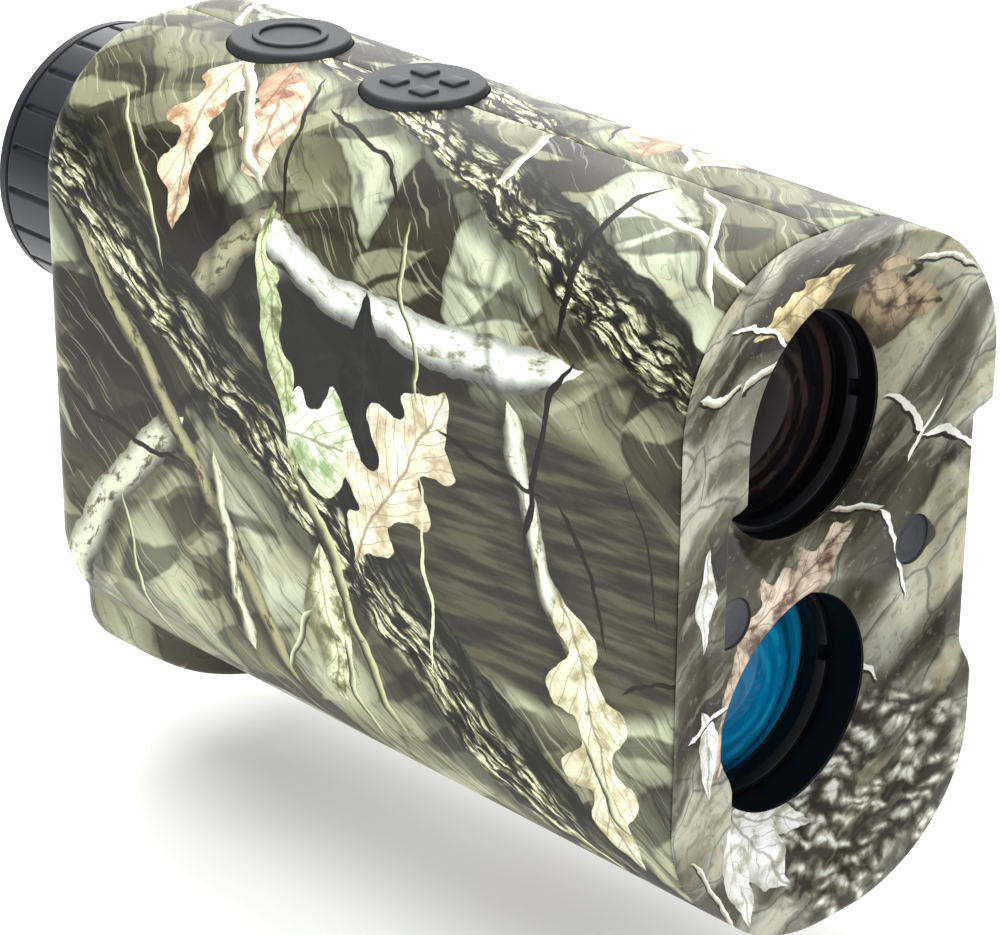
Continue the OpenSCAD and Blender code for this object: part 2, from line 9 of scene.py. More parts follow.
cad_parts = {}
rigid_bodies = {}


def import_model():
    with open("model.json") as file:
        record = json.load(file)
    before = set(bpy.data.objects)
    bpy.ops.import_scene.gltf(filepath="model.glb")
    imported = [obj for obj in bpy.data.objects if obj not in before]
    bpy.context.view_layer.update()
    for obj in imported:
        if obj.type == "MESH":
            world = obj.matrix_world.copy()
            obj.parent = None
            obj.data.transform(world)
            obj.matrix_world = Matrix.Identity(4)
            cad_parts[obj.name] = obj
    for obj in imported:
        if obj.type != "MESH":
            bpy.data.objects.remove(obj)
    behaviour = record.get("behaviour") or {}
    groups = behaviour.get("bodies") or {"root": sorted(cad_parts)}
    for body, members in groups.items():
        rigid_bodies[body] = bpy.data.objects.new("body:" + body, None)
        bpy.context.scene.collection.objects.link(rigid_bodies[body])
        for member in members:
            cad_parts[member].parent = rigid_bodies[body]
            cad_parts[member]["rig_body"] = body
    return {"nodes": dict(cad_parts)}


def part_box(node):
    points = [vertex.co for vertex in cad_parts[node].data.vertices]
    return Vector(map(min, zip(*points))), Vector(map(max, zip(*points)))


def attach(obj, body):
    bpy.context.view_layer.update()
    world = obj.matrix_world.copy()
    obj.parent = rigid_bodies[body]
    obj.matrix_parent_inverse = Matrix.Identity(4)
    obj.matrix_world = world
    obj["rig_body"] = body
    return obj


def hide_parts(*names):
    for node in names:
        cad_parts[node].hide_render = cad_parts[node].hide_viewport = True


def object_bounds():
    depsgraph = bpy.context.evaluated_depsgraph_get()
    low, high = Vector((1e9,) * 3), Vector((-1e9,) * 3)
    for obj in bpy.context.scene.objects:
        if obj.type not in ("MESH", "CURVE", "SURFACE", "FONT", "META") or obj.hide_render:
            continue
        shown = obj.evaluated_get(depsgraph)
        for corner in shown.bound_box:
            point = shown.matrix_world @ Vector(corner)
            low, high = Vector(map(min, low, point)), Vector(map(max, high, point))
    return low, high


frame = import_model()
cad_box = [list(c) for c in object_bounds()]
scene = bpy.context.scene


# ---------------------------------------------------------------- sizes, in mm, from the CAD boxes
def box_mm(node):
    lo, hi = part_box(node)
    return np.array(lo) * 1000, np.array(hi) * 1000


shell_lo, shell_hi = box_mm("left_shell")
HALF_W = -shell_lo[0]
GAP = -shell_hi[0]
BODY_H = shell_hi[2]
SEAM_Y = shell_lo[1]
REAR_Y = shell_hi[1]
HEEL_Z = shell_lo[2]
CORNER_R = 16.5
LOW_RX, LOW_RZ = 17.5, 15.4
WALL = 2.0
RIM_Y = box_mm("front_bezel")[0][1]
FLOOR_Y = RIM_Y + 4.3
BOWL_Y = RIM_Y + 8.3
MID_Z = sum(box_mm("bezel_plugs")[i][2] for i in (0, 1)) / 2
cell_lo, cell_hi = box_mm("objective_cell")
AIM_Z = (cell_lo[2] + cell_hi[2]) / 2
cell_lo, cell_hi = box_mm("receiver_cell")
RECEIVE_Z = (cell_lo[2] + cell_hi[2]) / 2
CELL_FRONT = cell_lo[1]
OPENING_R = 11.6
BOWL_R = 14.4
KEY_Y = {n: sum(box_mm(n)[i][1] for i in (0, 1)) / 2 for n in ("power_button", "mode_button")}
KEY_TOP = box_mm("power_button")[1][2]
KEY_R = 6.45
BATTERY_Y = sum(box_mm("battery")[i][1] for i in (0, 1)) / 2
BARREL_R = 12.65


def lerp(a, b, t):
    return a + (b - a) * t


def smoothstep(x, a, b):
    t = np.clip((x - a) / (b - a), 0, 1)
    return t * t * (3 - 2 * t)


def smooth_min(a, b, k):
    h = np.clip(0.5 + 0.5 * (b - a) / k, 0, 1)
    return lerp(b, a, h) - k * h * (1 - h)


def smooth_max(a, b, k):
    return -smooth_min(-a, -b, k)


# ---------------------------------------------------------------- mesh building
def make_object(name, verts, faces, body, slot, material, uvs=None, smooth=40):
    """A mesh object from mm coordinates that rides on a body; uvs is one (u, v) a vertex."""
    mesh = bpy.data.meshes.new(name)
    mesh.from_pydata((np.asarray(verts, float) * 0.001).tolist(), [], [list(f) for f in faces])
    if uvs is not None:
        layer = mesh.uv_layers.new(name="print")
        index = np.zeros(len(mesh.loops), int)
        mesh.loops.foreach_get("vertex_index", index)
        layer.data.foreach_set("uv", np.asarray(uvs, np.float32)[index].ravel())
    bm = bmesh.new()
    bm.from_mesh(mesh)
    bmesh.ops.remove_doubles(bm, verts=bm.verts, dist=2e-6)
    bmesh.ops.dissolve_degenerate(bm, dist=1e-6, edges=bm.edges)
    bmesh.ops.recalc_face_normals(bm, faces=bm.faces)
    bm.to_mesh(mesh)
    bm.free()
    obj = bpy.data.objects.new(name, mesh)
    scene.collection.objects.link(obj)
    mesh.materials.append(material)
    shade(mesh, smooth)
    if body:
        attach(obj, body)
    return obj


def shade(mesh, angle):
    mesh.shade_smooth()
    mesh.set_sharp_from_angle(angle=math.radians(angle))


def lathe(profile, axis, origin, segments=96, radius_fn=None):
    """Closed solid of revolution; the profile is a closed loop of (radius, along) points."""
    verts, faces = [], []
    n = len(profile)
    for k in range(segments):
        a = 2 * math.pi * k / segments
        for r, t in profile:
            if radius_fn:
                r = radius_fn(r, t, a)
            if axis == "y":
                verts.append((origin[0] + r * math.sin(a), origin[1] + t, origin[2] + r * math.cos(a)))
            else:
                verts.append((origin[0] + r * math.sin(a), origin[1] - r * math.cos(a), origin[2] + t))
    for k in range(segments):
        for i in range(n):
            a, b = k * n + i, k * n + (i + 1) % n
            c, d = ((k + 1) % segments) * n + (i + 1) % n, ((k + 1) % segments) * n + i
            faces.append((a, b, c, d))
    return np.array(verts), faces


def rounded(points, radii, steps=5):
    """A closed or open polyline with its corners rounded; one radius a point."""
    out = []
    n = len(points)
    for i, (p, r) in enumerate(zip(points, radii)):
        p = np.array(p, float)
        if r <= 0:
            out.append(tuple(p))
            continue
        a = np.array(points[i - 1], float) - p
        b = np.array(points[(i + 1) % n], float) - p
        la, lb = np.linalg.norm(a), np.linalg.norm(b)
        a, b = a / la, b / lb
        half = math.acos(np.clip(a @ b, -1, 1)) / 2
        cut = min(r / math.tan(half), la * 0.49, lb * 0.49)
        for s in range(steps + 1):
            t = s / steps
            q = (1 - t) ** 2 * (p + a * cut) + 2 * t * (1 - t) * p + t * t * (p + b * cut)
            out.append(tuple(q))
    return out


def cutter(verts, faces):
    return make_object("cutter", verts, faces, None, None, plain_cut, smooth=30)


def subtract(obj, tools):
    """Cuts the tools out of the object's mesh and removes them."""
    for tool in tools:
        m = obj.modifiers.new("cut", "BOOLEAN")
        m.operation = "DIFFERENCE"
        m.solver = "EXACT"
        m.object = tool
    bpy.context.view_layer.update()
    done = bpy.data.meshes.new_from_object(obj.evaluated_get(bpy.context.evaluated_depsgraph_get()))
    obj.modifiers.clear()
    old = obj.data
    obj.data = done
    bpy.data.meshes.remove(old)
    for tool in tools:
        bpy.data.objects.remove(tool)


# ---------------------------------------------------------------- body skin
def half_outline(step=0.55):
    """Right half of the cross-section from the bottom centre up to the top centre:
    points, outward normals and the length run from the bottom centre, in mm."""
    low_flat, top_flat = HALF_W - LOW_RX, HALF_W - CORNER_R
    low_arc = math.pi / 2 * math.hypot(LOW_RX, LOW_RZ) / math.sqrt(2)
    arc = math.pi / 2 * CORNER_R
    side = BODY_H - LOW_RZ - CORNER_R
    pts, nrm, run = [(0, 0)], [(0, -1)], [0]

    def add(length, parts, place):
        start = run[-1]
        for k in range(1, parts + 1):
            t = k / parts
            (x, z), (nx, nz) = place(t)
            pts.append((x, z))
            nrm.append((nx / math.hypot(nx, nz), nz / math.hypot(nx, nz)))
            run.append(start + length * t)

    def low_corner(t):
        s, c = math.sin(t * math.pi / 2), math.cos(t * math.pi / 2)
        return (low_flat + LOW_RX * s, LOW_RZ * (1 - c)), (LOW_RZ * s, -LOW_RX * c)

    def top_corner(t):
        s, c = math.sin(t * math.pi / 2), math.cos(t * math.pi / 2)
        return (top_flat + CORNER_R * c, BODY_H - CORNER_R * (1 - s)), (c, s)

    add(low_flat, 4, lambda t: ((low_flat * t, 0), (0, -1)))
    add(low_arc, round(low_arc / step), low_corner)
    add(side, round(side / 0.9), lambda t: ((HALF_W, LOW_RZ + side * t), (1, 0)))
    add(arc, round(arc / step), top_corner)
    add(top_flat, 6, lambda t: ((top_flat * (1 - t), BODY_H), (0, 1)))
    return np.array(pts, float), np.array(nrm, float), np.array(run)


def body_distance(x, z):
    """Signed distance, exact at the surface, to the plain cross-section."""
    x = np.abs(x)
    top = np.hypot(np.maximum(x - HALF_W + CORNER_R, 0), np.maximum(z - BODY_H + CORNER_R, 0)) - CORNER_R
    low = np.hypot(np.maximum(x - HALF_W + LOW_RX, 0) / LOW_RX, np.maximum(LOW_RZ - z, 0) / LOW_RZ) - 1
    return np.where(z > BODY_H / 2, top, low * LOW_RZ)


HEEL_X = 16.7
HEEL_Y = REAR_Y - 8.8
WELL_R = 14.8
HEEL_EDGE = 6.6
HEEL_LIP = 2.2
HEEL_TOP = 24.0


def corner_distance(x, z):
    """Signed distance to the cross-section with all four corners round."""
    qx = np.abs(x) - (HALF_W - CORNER_R)
    qz = np.abs(z - BODY_H / 2) - (BODY_H / 2 - CORNER_R)
    outside = np.hypot(np.maximum(qx, 0), np.maximum(qz, 0))
    return outside + np.minimum(np.maximum(qx, qz), 0) - CORNER_R


def heel_distance(x, y, z):
    """Signed distance, near its faces, to the battery heel."""
    x = np.abs(x)
    well = np.hypot(x, y - HEEL_Y) - WELL_R
    reach = math.hypot(HEEL_X, REAR_Y - 0.3 - HEEL_Y)
    aim = math.atan2(REAR_Y - 0.3 - HEEL_Y, HEEL_X)
    touch = aim - math.acos(WELL_R / reach)
    flare = x * math.cos(touch) + (y - HEEL_Y) * math.sin(touch) - WELL_R
    behind = HEEL_Y + WELL_R * math.sin(touch) - y
    plan = smooth_min(well, np.maximum(flare, behind), 1.0)
    low = HEEL_Z - z
    rim = np.hypot(np.maximum(plan + HEEL_LIP, 0), np.maximum(low + HEEL_LIP, 0))
    block = rim + np.minimum(np.maximum(plan, low) + HEEL_LIP, 0) - HEEL_LIP
    qx = x - (HEEL_X - HEEL_EDGE)
    qz = (HEEL_Z + HEEL_EDGE) - z
    section = np.hypot(np.maximum(qx, 0), np.maximum(qz, 0)) + np.minimum(np.maximum(qx, qz), 0) - HEEL_EDGE
    return np.maximum(smooth_max(block, section, 0.8), z - HEEL_TOP)


def skin_distance(x, y, z):
    return smooth_min(body_distance(x, z), heel_distance(x, y, z), 0.8)


def skin_section(points, y):
    """Points of the body's cross-section at y, on the rays from its middle through the outline's points."""
    mid = np.array([0, BODY_H / 2])
    ray = points - mid
    near, far = np.full(len(points), 0.55), np.full(len(points), 1.5)
    for _ in range(26):
        half = (near + far) / 2
        p = mid + ray * half[:, None]
        inside = skin_distance(p[:, 0], y, p[:, 1]) < 0
        near, far = np.where(inside, half, near), np.where(inside, far, half)
    p = mid + ray * near[:, None]
    e = 0.01
    gx = skin_distance(p[:, 0] + e, y, p[:, 1]) - skin_distance(p[:, 0] - e, y, p[:, 1])
    gz = skin_distance(p[:, 0], y, p[:, 1] + e) - skin_distance(p[:, 0], y, p[:, 1] - e)
    g = np.stack([gx, gz], 1)
    return p, g / np.linalg.norm(g, axis=1)[:, None]


REAR_R = 4.2
HEEL_START = HEEL_Y - WELL_R - 2


def shell_mesh(side):
    """One half of the body as a thick sheet: outer rows from the front edge over the rear
    edge to the eyepiece hole, with a matching inner row under each."""
    pts, nrm, run = half_outline()
    outer, inner, uv = [], [], []

    def add(p, n, y, drop, y_in, deep, along):
        outer.append(np.column_stack([p - n * drop, np.full(len(p), y)]))
        inner.append(np.column_stack([p - n * deep, np.full(len(p), y_in)]))
        uv.append(np.column_stack([np.full(len(p), along), run]))

    for y, drop in ((0.03, 0.3), (0.1, 0.12), (0.3, 0.0)):
        add(pts, nrm, SEAM_Y + y, drop, SEAM_Y + y, WALL, SEAM_Y + y)
    for y in np.arange(SEAM_Y + 2, HEEL_START, 2.0):
        add(pts, nrm, y, 0, y, WALL, y)
    last = REAR_Y - REAR_R
    under = 1 - smoothstep(pts[:, 1], 1.0, 7.0)
    for y in np.linspace(HEEL_START, last, round((last - HEEL_START) / 0.45) + 1):
        p, n = skin_section(pts, y)
        add(p, n, y, 0, min(y, REAR_Y - WALL), WALL, y)
    for k in range(1, 9):
        a = math.pi / 2 * k / 8
        y = last + REAR_R * math.sin(a)
        p, n = skin_section(pts, min(y, REAR_Y - 0.4))
        tight = REAR_R - WALL
        drop = REAR_R * (1 - math.cos(a)) * lerp(1, 0.3, under)
        deep = WALL + tight * (1 - math.cos(a))
        add(p, n, y, drop[:, None], last + tight * math.sin(a), deep, last + REAR_R * a)
    end = outer[-1][:, :2]
    end_in = inner[-1][:, :2]
    mid = np.array([0, AIM_Z])
    to = end - mid
    ring = mid + to / np.linalg.norm(to, axis=1)[:, None] * BARREL_R
    start = last + REAR_R * math.pi / 2
    for k in range(1, 10):
        t = k / 9
        outer.append(np.column_stack([lerp(end, ring, t), np.full(len(ring), REAR_Y)]))
        inner.append(np.column_stack([lerp(end_in, ring, t), np.full(len(ring), REAR_Y - WALL)]))
        uv.append(np.column_stack([start + np.linalg.norm(lerp(end, ring, t) - end, axis=1), run]))
    rows, cols = len(outer), len(pts)
    verts, coords = [], []
    for sheet in (outer, inner):
        for r in range(rows):
            q = sheet[r].copy()
            edge = np.zeros(cols)
            q[:, 0] = np.maximum(q[:, 0], GAP)
            if sheet is outer and r < rows - 12:
                edge[0], edge[-1] = 0.14, -0.14
                q[:, 1] += edge
            verts += [(side * x, y, z) for x, z, y in q]
            coords += [(a, b) for a, b in uv[r]]
    faces = []
    inside = rows * cols
    for r in range(rows - 1):
        for c in range(cols - 1):
            a, b = r * cols + c, r * cols + c + 1
            faces.append((a, b, b + cols, a + cols))
            faces.append((inside + a, inside + a + cols, inside + b + cols, inside + b))
    for c in range(cols - 1):
        for r in (0, rows - 1):
            a = r * cols + c
            faces.append((a, a + 1, inside + a + 1, inside + a))
    for r in range(rows - 1):
        for c in (0, cols - 1):
            a = r * cols + c
            faces.append((a, a + cols, inside + a + cols, inside + a))
    return verts, faces, coords


def rod(axis, centre, r, a, b, segments=48):
    return cutter(*lathe([(1e-4, a), (r, a), (r, b), (1e-4, b)], axis, centre, segments))


def rod_x(y, z, r, a, b, segments=32):
    v, f = lathe([(1e-4, a), (r, a), (r, b), (1e-4, b)], "z", (0, 0, 0), segments)
    v = np.column_stack([v[:, 2], y + v[:, 0], z + v[:, 1]])
    return cutter(v, f)


def slab(lo, hi):
    v = [(x, y, z) for x in (lo[0], hi[0]) for y in (lo[1], hi[1]) for z in (lo[2], hi[2])]
    f = [(0, 1, 3, 2), (4, 6, 7, 5), (0, 4, 5, 1), (2, 3, 7, 6), (0, 2, 6, 4), (1, 5, 7, 3)]
    return cutter(v, f)


def build_shell(name, side):
    verts, faces, uv = shell_mesh(side)
    shell = make_object(name, verts, faces, "housing", "camo_print", mats[name], uv, smooth=38)
    tools = [rod("z", (0, y, 0), KEY_R + 0.38, BODY_H - 6, BODY_H + 4, 64) for y in KEY_Y.values()]
    tools.append(rod("z", (0, BATTERY_Y, 0), 10.6, HEEL_Z - 3, HEEL_Z + 8, 96))
    tools.append(rod("z", (0, 0, 0), 5.05, -3, 6, 48))
    if side > 0:
        for y, z in SCREWS:
            tools.append(rod_x(y, z, 2.1, 10.5, 30))
        lo, hi = box_mm("lanyard_bar")
        y = (lo[1] + hi[1]) / 2
        tools.append(slab((15, y - 3.2, lo[2] + 2), (30, y + 3.3, hi[2] - 2)))
    subtract(shell, tools)
    shade(shell.data, 38)
    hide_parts(name)
    return shell


# ---------------------------------------------------------------- bezel
RIM_W = 3.4
RIM_ROUND = 0.8


def rim_front(z):
    """Y of the rim's crest: foremost over the upper lens, set back beside the screws."""
    return RIM_Y + 2.2 * smoothstep(-z, -51.2, -48.4) - 1.6 * smoothstep(-z, -23.6, -20.8)


def front_depth(x, z, d):
    """Y of the front face at (x, z), d in from the outline: rim, inner wall, dished floor, bowls."""
    rim = rim_front(z)
    wall = smooth_max(rim, rim + (d - RIM_W + 0.25) * 3.2, 0.9)
    floor = np.full_like(x, FLOOR_Y)
    for cz in (AIM_Z, RECEIVE_Z):
        slope = (BOWL_Y - FLOOR_Y) / (BOWL_R - OPENING_R)
        cone = FLOOR_Y + (BOWL_R - np.hypot(x, z - cz)) * slope
        floor = smooth_max(floor, np.minimum(cone, BOWL_Y), 0.9)
    return smooth_min(wall, floor, 1.7)


def loop_half(up):
    """Outline from the right side's middle over the top (or under the bottom) to the left side's middle."""
    pts, nrm, _ = half_outline(0.5)
    k = pts[:, 1] > MID_Z + 0.2 if up else pts[:, 1] < MID_Z - 0.2
    p, n = pts[k], nrm[k]
    if not up:
        p, n = p[::-1], n[::-1]
    p = np.vstack([[HALF_W, MID_Z], p])
    n = np.vstack([[1, 0], n])
    flip = np.array([-1, 1])
    return np.vstack([p, (p * flip)[-2::-1]]), np.vstack([n, (n * flip)[-2::-1]])


def bezel_mesh():
    """The bezel as rows from its back over the rim to the floor, then polar rings to each opening."""
    verts, faces, uv = [], [], []
    floor_edge, lean = 5.0, 0.9
    dense = np.concatenate([np.linspace(RIM_ROUND, 2.7, 4), np.linspace(2.7, floor_edge, 17)[1:]])

    def add(q, y, out=0.0, n=None, print_depth=True):
        depth = lean * (y - FLOOR_Y) if print_depth else 0 * y
        verts.extend((a, b, c) for (a, c), b in zip(q, y))
        shifted = q + np.column_stack([-depth, depth])
        if n is not None:
            shifted = shifted + n * out[:, None]
        uv.extend(map(tuple, shifted))

    for up in (True, False):
        p, n = loop_half(up)
        cz = AIM_Z if up else RECEIVE_Z
        count = len(p)
        rim = rim_front(p[:, 1])
        rows = [(p - n * inset, np.full(count, y)) for inset, y in (
            (2.15, CELL_FRONT - 0.03), (2.1, SEAM_Y), (0.3, SEAM_Y), (0.1, SEAM_Y - 0.1), (0, SEAM_Y - 0.3))]
        for t in np.linspace(0, 1, 6)[1:]:
            rows.append((p, lerp(SEAM_Y - 0.3, rim + RIM_ROUND, t)))
        for k in range(1, 8):
            a = math.pi / 2 * k / 8
            rows.append((p - n * (RIM_ROUND * (1 - math.cos(a))), rim + RIM_ROUND * (1 - math.sin(a))))
        crest = len(rows)
        for d in dense:
            q = p - n * d
            rows.append((q, front_depth(q[:, 0], q[:, 1], np.full(count, d))))
        base = len(verts)
        for i, (q, y) in enumerate(rows):
            add(q, y, (y - rim) * 0.8 if i < crest else 0 * y, n)
        for r in range(len(rows) - 1):
            for c in range(count - 1):
                a = base + r * count + c
                faces.append((a, a + 1, a + 1 + count, a + count))

        def closed(row):
            """The row with its ends joined along the line between the two bowls."""
            line = np.column_stack([np.linspace(row[-1][0], row[0][0], 56), np.full(56, MID_Z)])
            return np.vstack([row, line[1:-1]])

        loop = closed(rows[-1][0])
        mid = np.array([0, cz])
        ray = (loop - mid) / np.linalg.norm(loop - mid, axis=1)[:, None]
        ring = mid + ray * OPENING_R
        start, m, steps = len(verts), len(loop), 22
        for k in range(steps + 1):
            q = lerp(loop, ring, k / steps)
            add(q, front_depth(q[:, 0], q[:, 1], -corner_distance(q[:, 0], q[:, 1])))
        behind = np.full(m, CELL_FRONT - 0.03)
        add(mid + ray * (OPENING_R - 0.02), np.full(m, BOWL_Y + 0.03), print_depth=False)
        add(ring, behind, print_depth=False)
        for t in (0.5, 1):
            add(lerp(ring, closed(rows[0][0]), t), behind, print_depth=False)
        for r in range(steps + 4):
            for c in range(m):
                a, b = start + r * m + c, start + r * m + (c + 1) % m
                faces.append((a, b, b + m, a + m))
    return verts, faces, uv


def build_bezel():
    verts, faces, uv = bezel_mesh()
    bezel = make_object("front_bezel_skin", verts, faces, "housing", "camo_print", mats["bezel"], uv, 50)
    tools = [rod("y", (x, 0, MID_Z), 2.66, FLOOR_Y - 4, FLOOR_Y + 1.6, 48) for x in PLUG_X]
    subtract(bezel, tools)
    shade(bezel.data, 50)
    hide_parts("front_bezel")
    return bezel


# ---------------------------------------------------------------- node expressions
class Value:
    """A node socket that can be used in ordinary arithmetic."""

    def __init__(self, tree, socket):
        self.tree, self.socket = tree, socket

    def node(self, kind, *inputs, **settings):
        made = self.tree.nodes.new(kind)
        for key, value in settings.items():
            setattr(made, key, value)
        for i, value in enumerate(inputs):
            if isinstance(value, Value):
                self.tree.links.new(value.socket, made.inputs[i])
            elif value is not None:
                made.inputs[i].default_value = value
        return made

    def value(self, kind, *inputs, **settings):
        return Value(self.tree, self.node(kind, *inputs, **settings).outputs[0])

    def math(self, operation, *others, clamp=False):
        return self.value("ShaderNodeMath", self, *others, operation=operation, use_clamp=clamp)

    def __add__(self, o): return self.math("ADD", o)
    def __radd__(self, o): return self.math("ADD", o)
    def __sub__(self, o): return self.math("SUBTRACT", o)
    def __mul__(self, o): return self.math("MULTIPLY", o)
    def __rmul__(self, o): return self.math("MULTIPLY", o)
    def __truediv__(self, o): return self.math("DIVIDE", o)
    def __neg__(self): return self.math("MULTIPLY", -1.0)

    def flip(self): return -self + 1.0
    def abs(self): return self.math("ABSOLUTE")
    def clamp(self): return self.math("ADD", 0.0, clamp=True)
    def low(self, o): return self.math("MINIMUM", o)

    def soft(self, a, b):
        """0 at a, 1 at b, clamped."""
        return self.value("ShaderNodeMapRange", self, float(a), float(b), 0.0, 1.0,
                          interpolation_type="SMOOTHSTEP")

    def noise(self, scale, detail=3.0, rough=0.55, bend=0.0, solid="2D"):
        return self.value("ShaderNodeTexNoise", self, None, scale, detail, rough, None, None, bend,
                          noise_dimensions=solid)

    def noise3(self, scale, detail=3.0, rough=0.55):
        return self.noise(scale, detail, rough, solid="3D")

    def cracks(self, scale, feature="DISTANCE_TO_EDGE"):
        """Distance to the nearest edge (or, with F1, centre) of random cells."""
        return self.value("ShaderNodeTexVoronoi", self, None, scale, voronoi_dimensions="2D", feature=feature)

    def cell(self):
        """A random number for each of the cells."""
        made = self.node("ShaderNodeTexVoronoi", self, None, 1.0, voronoi_dimensions="2D", feature="F1")
        return Value(self.tree, made.outputs["Color"]).split()[0]

    def place(self, x=0.0, y=0.0, turn=0.0, sx=1.0, sy=1.0):
        """Coordinates with their origin at (x, y), turned, and in units of (sx, sy)."""
        turned = (0.0, 0.0, math.radians(turn))
        return self.value("ShaderNodeMapping", self, (x, y, 0.0), turned, (sx, sy, 1.0), vector_type="TEXTURE")

    def split(self):
        made = self.node("ShaderNodeSeparateXYZ", self)
        return Value(self.tree, made.outputs[0]), Value(self.tree, made.outputs[1])

    def join(self, other, third=0.0):
        return self.value("ShaderNodeCombineXYZ", self, other, third)

    def after(self, paint):
        """These coordinates, evaluated only once paint is known, which keeps a long chain of layers light."""
        return self.value("ShaderNodeVectorMath", paint, (1e-6, 1e-6, 1e-6), self, operation="MULTIPLY_ADD")

    def shift(self, other):
        return self.value("ShaderNodeVectorMath", self, other, operation="ADD")

    def curve(self, points):
        made = self.node("ShaderNodeFloatCurve", None, self)
        line = made.mapping.curves[0]
        for i, p in enumerate(points):
            if i < 2:
                line.points[i].location = p
            else:
                line.points.new(*p)
        made.mapping.extend = "HORIZONTAL"
        made.mapping.update()
        return Value(self.tree, made.outputs[0])

    def ramp(self, *stops):
        """Colour by position; each stop is (position, colour)."""
        made = self.node("ShaderNodeValToRGB", self)
        line = made.color_ramp.elements
        for i, (at, colour) in enumerate(stops):
            e = line[i] if i < 2 else line.new(at)
            e.position, e.color = at, tint(colour)
        return Value(self.tree, made.outputs[0])

    def grade(self, power, gain):
        """The colour with more contrast, and each channel scaled."""
        bent = self.value("ShaderNodeGamma", self, power)
        return bent.value("ShaderNodeVectorMath", bent, gain, operation="MULTIPLY")

    def mix(self, other, amount, blend="MIX"):
        """This colour with another over it by the amount."""
        made = self.tree.nodes.new("ShaderNodeMix")
        made.data_type, made.blend_type = "RGBA", blend
        for i, value in ((0, amount), (6, self), (7, other)):
            if isinstance(value, Value):
                self.tree.links.new(value.socket, made.inputs[i])
            elif i == 0:
                made.inputs[0].default_value = value
            else:
                made.inputs[i].default_value = tint(value)
        return Value(self.tree, made.outputs[2])


def tint(rgb):
    """A colour given as sRGB values 0-255, as the linear RGBA that nodes take."""
    if len(rgb) == 4:
        return rgb
    return tuple(((c / 255 + 0.055) / 1.055) ** 2.4 if c > 10 else c / 255 / 12.92 for c in rgb) + (1.0,)


def new_material(name):
    material = bpy.data.materials.new(name)
    material.use_nodes = True
    tree = material.node_tree
    shader = next(n for n in tree.nodes if n.type == "BSDF_PRINCIPLED")
    return material, tree, shader


def put(tree, socket, value):
    if isinstance(value, Value):
        tree.links.new(value.socket, socket)
    else:
        socket.default_value = value


def bump(tree, shader, height, strength, distance):
    made = tree.nodes.new("ShaderNodeBump")
    made.inputs["Strength"].default_value = strength
    made.inputs["Distance"].default_value = distance
    tree.links.new(height.socket, made.inputs["Height"])
    tree.links.new(made.outputs[0], shader.inputs["Normal"])


def object_mm(tree):
    """Object coordinates in mm."""
    made = tree.nodes.new("ShaderNodeTexCoord")
    scale = tree.nodes.new("ShaderNodeVectorMath")
    scale.operation = "SCALE"
    scale.inputs[3].default_value = 1000.0
    tree.links.new(made.outputs["Object"], scale.inputs[0])
    return Value(tree, scale.outputs[0])


def finish_material(name, colour, rough=0.5, metal=0.0, grain=0.6, grain_size=4.0, wear=0.12, coat=0.0,
                    **extra):
    """Moulded or machined finish: a base colour with broad tone changes, fine grain and worn patches."""
    material, tree, shader = new_material(name)
    p = object_mm(tree)
    broad = p.noise3(0.12, 3.0)
    fine = p.noise3(grain_size, 4.0, 0.6)
    light = [min(255, c * 1.18 + 6) for c in colour]
    dark = [c * 0.82 for c in colour]
    tone = broad.ramp((0.3, dark), (0.7, light))
    worn = [min(255, c * 1.25 + 22) for c in colour]
    patch = (p.noise3(0.5, 5.0, 0.7) * fine).soft(0.30, 0.42) * wear
    put(tree, shader.inputs["Base Color"], tone.mix(worn, patch))
    put(tree, shader.inputs["Roughness"], fine.soft(0.2, 0.8) * 0.14 + (rough - 0.07))
    put(tree, shader.inputs["Metallic"], metal)
    put(tree, shader.inputs["Coat Weight"], coat)
    for key, value in extra.items():
        put(tree, shader.inputs[key.replace("_", " ")], value)
    bump(tree, shader, fine, grain, 0.00004)
    return material


def glass_material(name, colour, coat_colour, clear=0.0, rough=0.02, shine=0.9, reflection_arcs=None):
    """Coated lens: reads dark from the front, with a coloured reflection that grows to the edge. The optional
    arcs are painted reflections: pale and dark rings put into the base colour.
    """
    material, tree, shader = new_material(name)
    p = object_mm(tree)
    smudge = p.noise3(0.35, 3.0)
    skin = smudge.ramp((0.35, colour), (0.7, [c * 1.15 for c in colour]))
    if reflection_arcs:
        centre, pale = reflection_arcs
        made = p.node("ShaderNodeSeparateXYZ", p.shift((0.0, 0.0, -centre)))
        x, z = Value(tree, made.outputs[0]), Value(tree, made.outputs[2])
        radius = ((x + 3.0) * (x + 3.0) + z * z).math("SQRT")
        # painted reflection: pale and dark rings in the lens's base colour stand in for reflections inside the
        # lens
        reflected_bands = (radius * 0.42).join(smudge * 0.7).noise(1.0, 1.0, 0.5)
        skin = skin.mix(pale, reflected_bands.soft(0.50, 0.66) * 0.8).mix((2, 12, 20), reflected_bands.soft(0.44, 0.30) * 0.6)
    put(tree, shader.inputs["Base Color"], skin)
    put(tree, shader.inputs["Roughness"], smudge.soft(0.4, 0.9) * 0.03 + rough)
    put(tree, shader.inputs["Transmission Weight"], clear)
    put(tree, shader.inputs["Specular Tint"], tint(coat_colour))
    put(tree, shader.inputs["Specular IOR Level"], shine)
    shader.inputs["IOR"].default_value = 1.5
    return material


# ---------------------------------------------------------------- woodland print
GRADE, SIDE_GAIN, BEZEL_GAIN = 1.46, (1.19, 1.21, 1.22), (1.12, 1.14, 1.20)
BARK_DARK, BARK_MID, BARK_PALE = (56, 56, 46), (128, 124, 102), (240, 240, 210)
VEIN = (120, 108, 76)


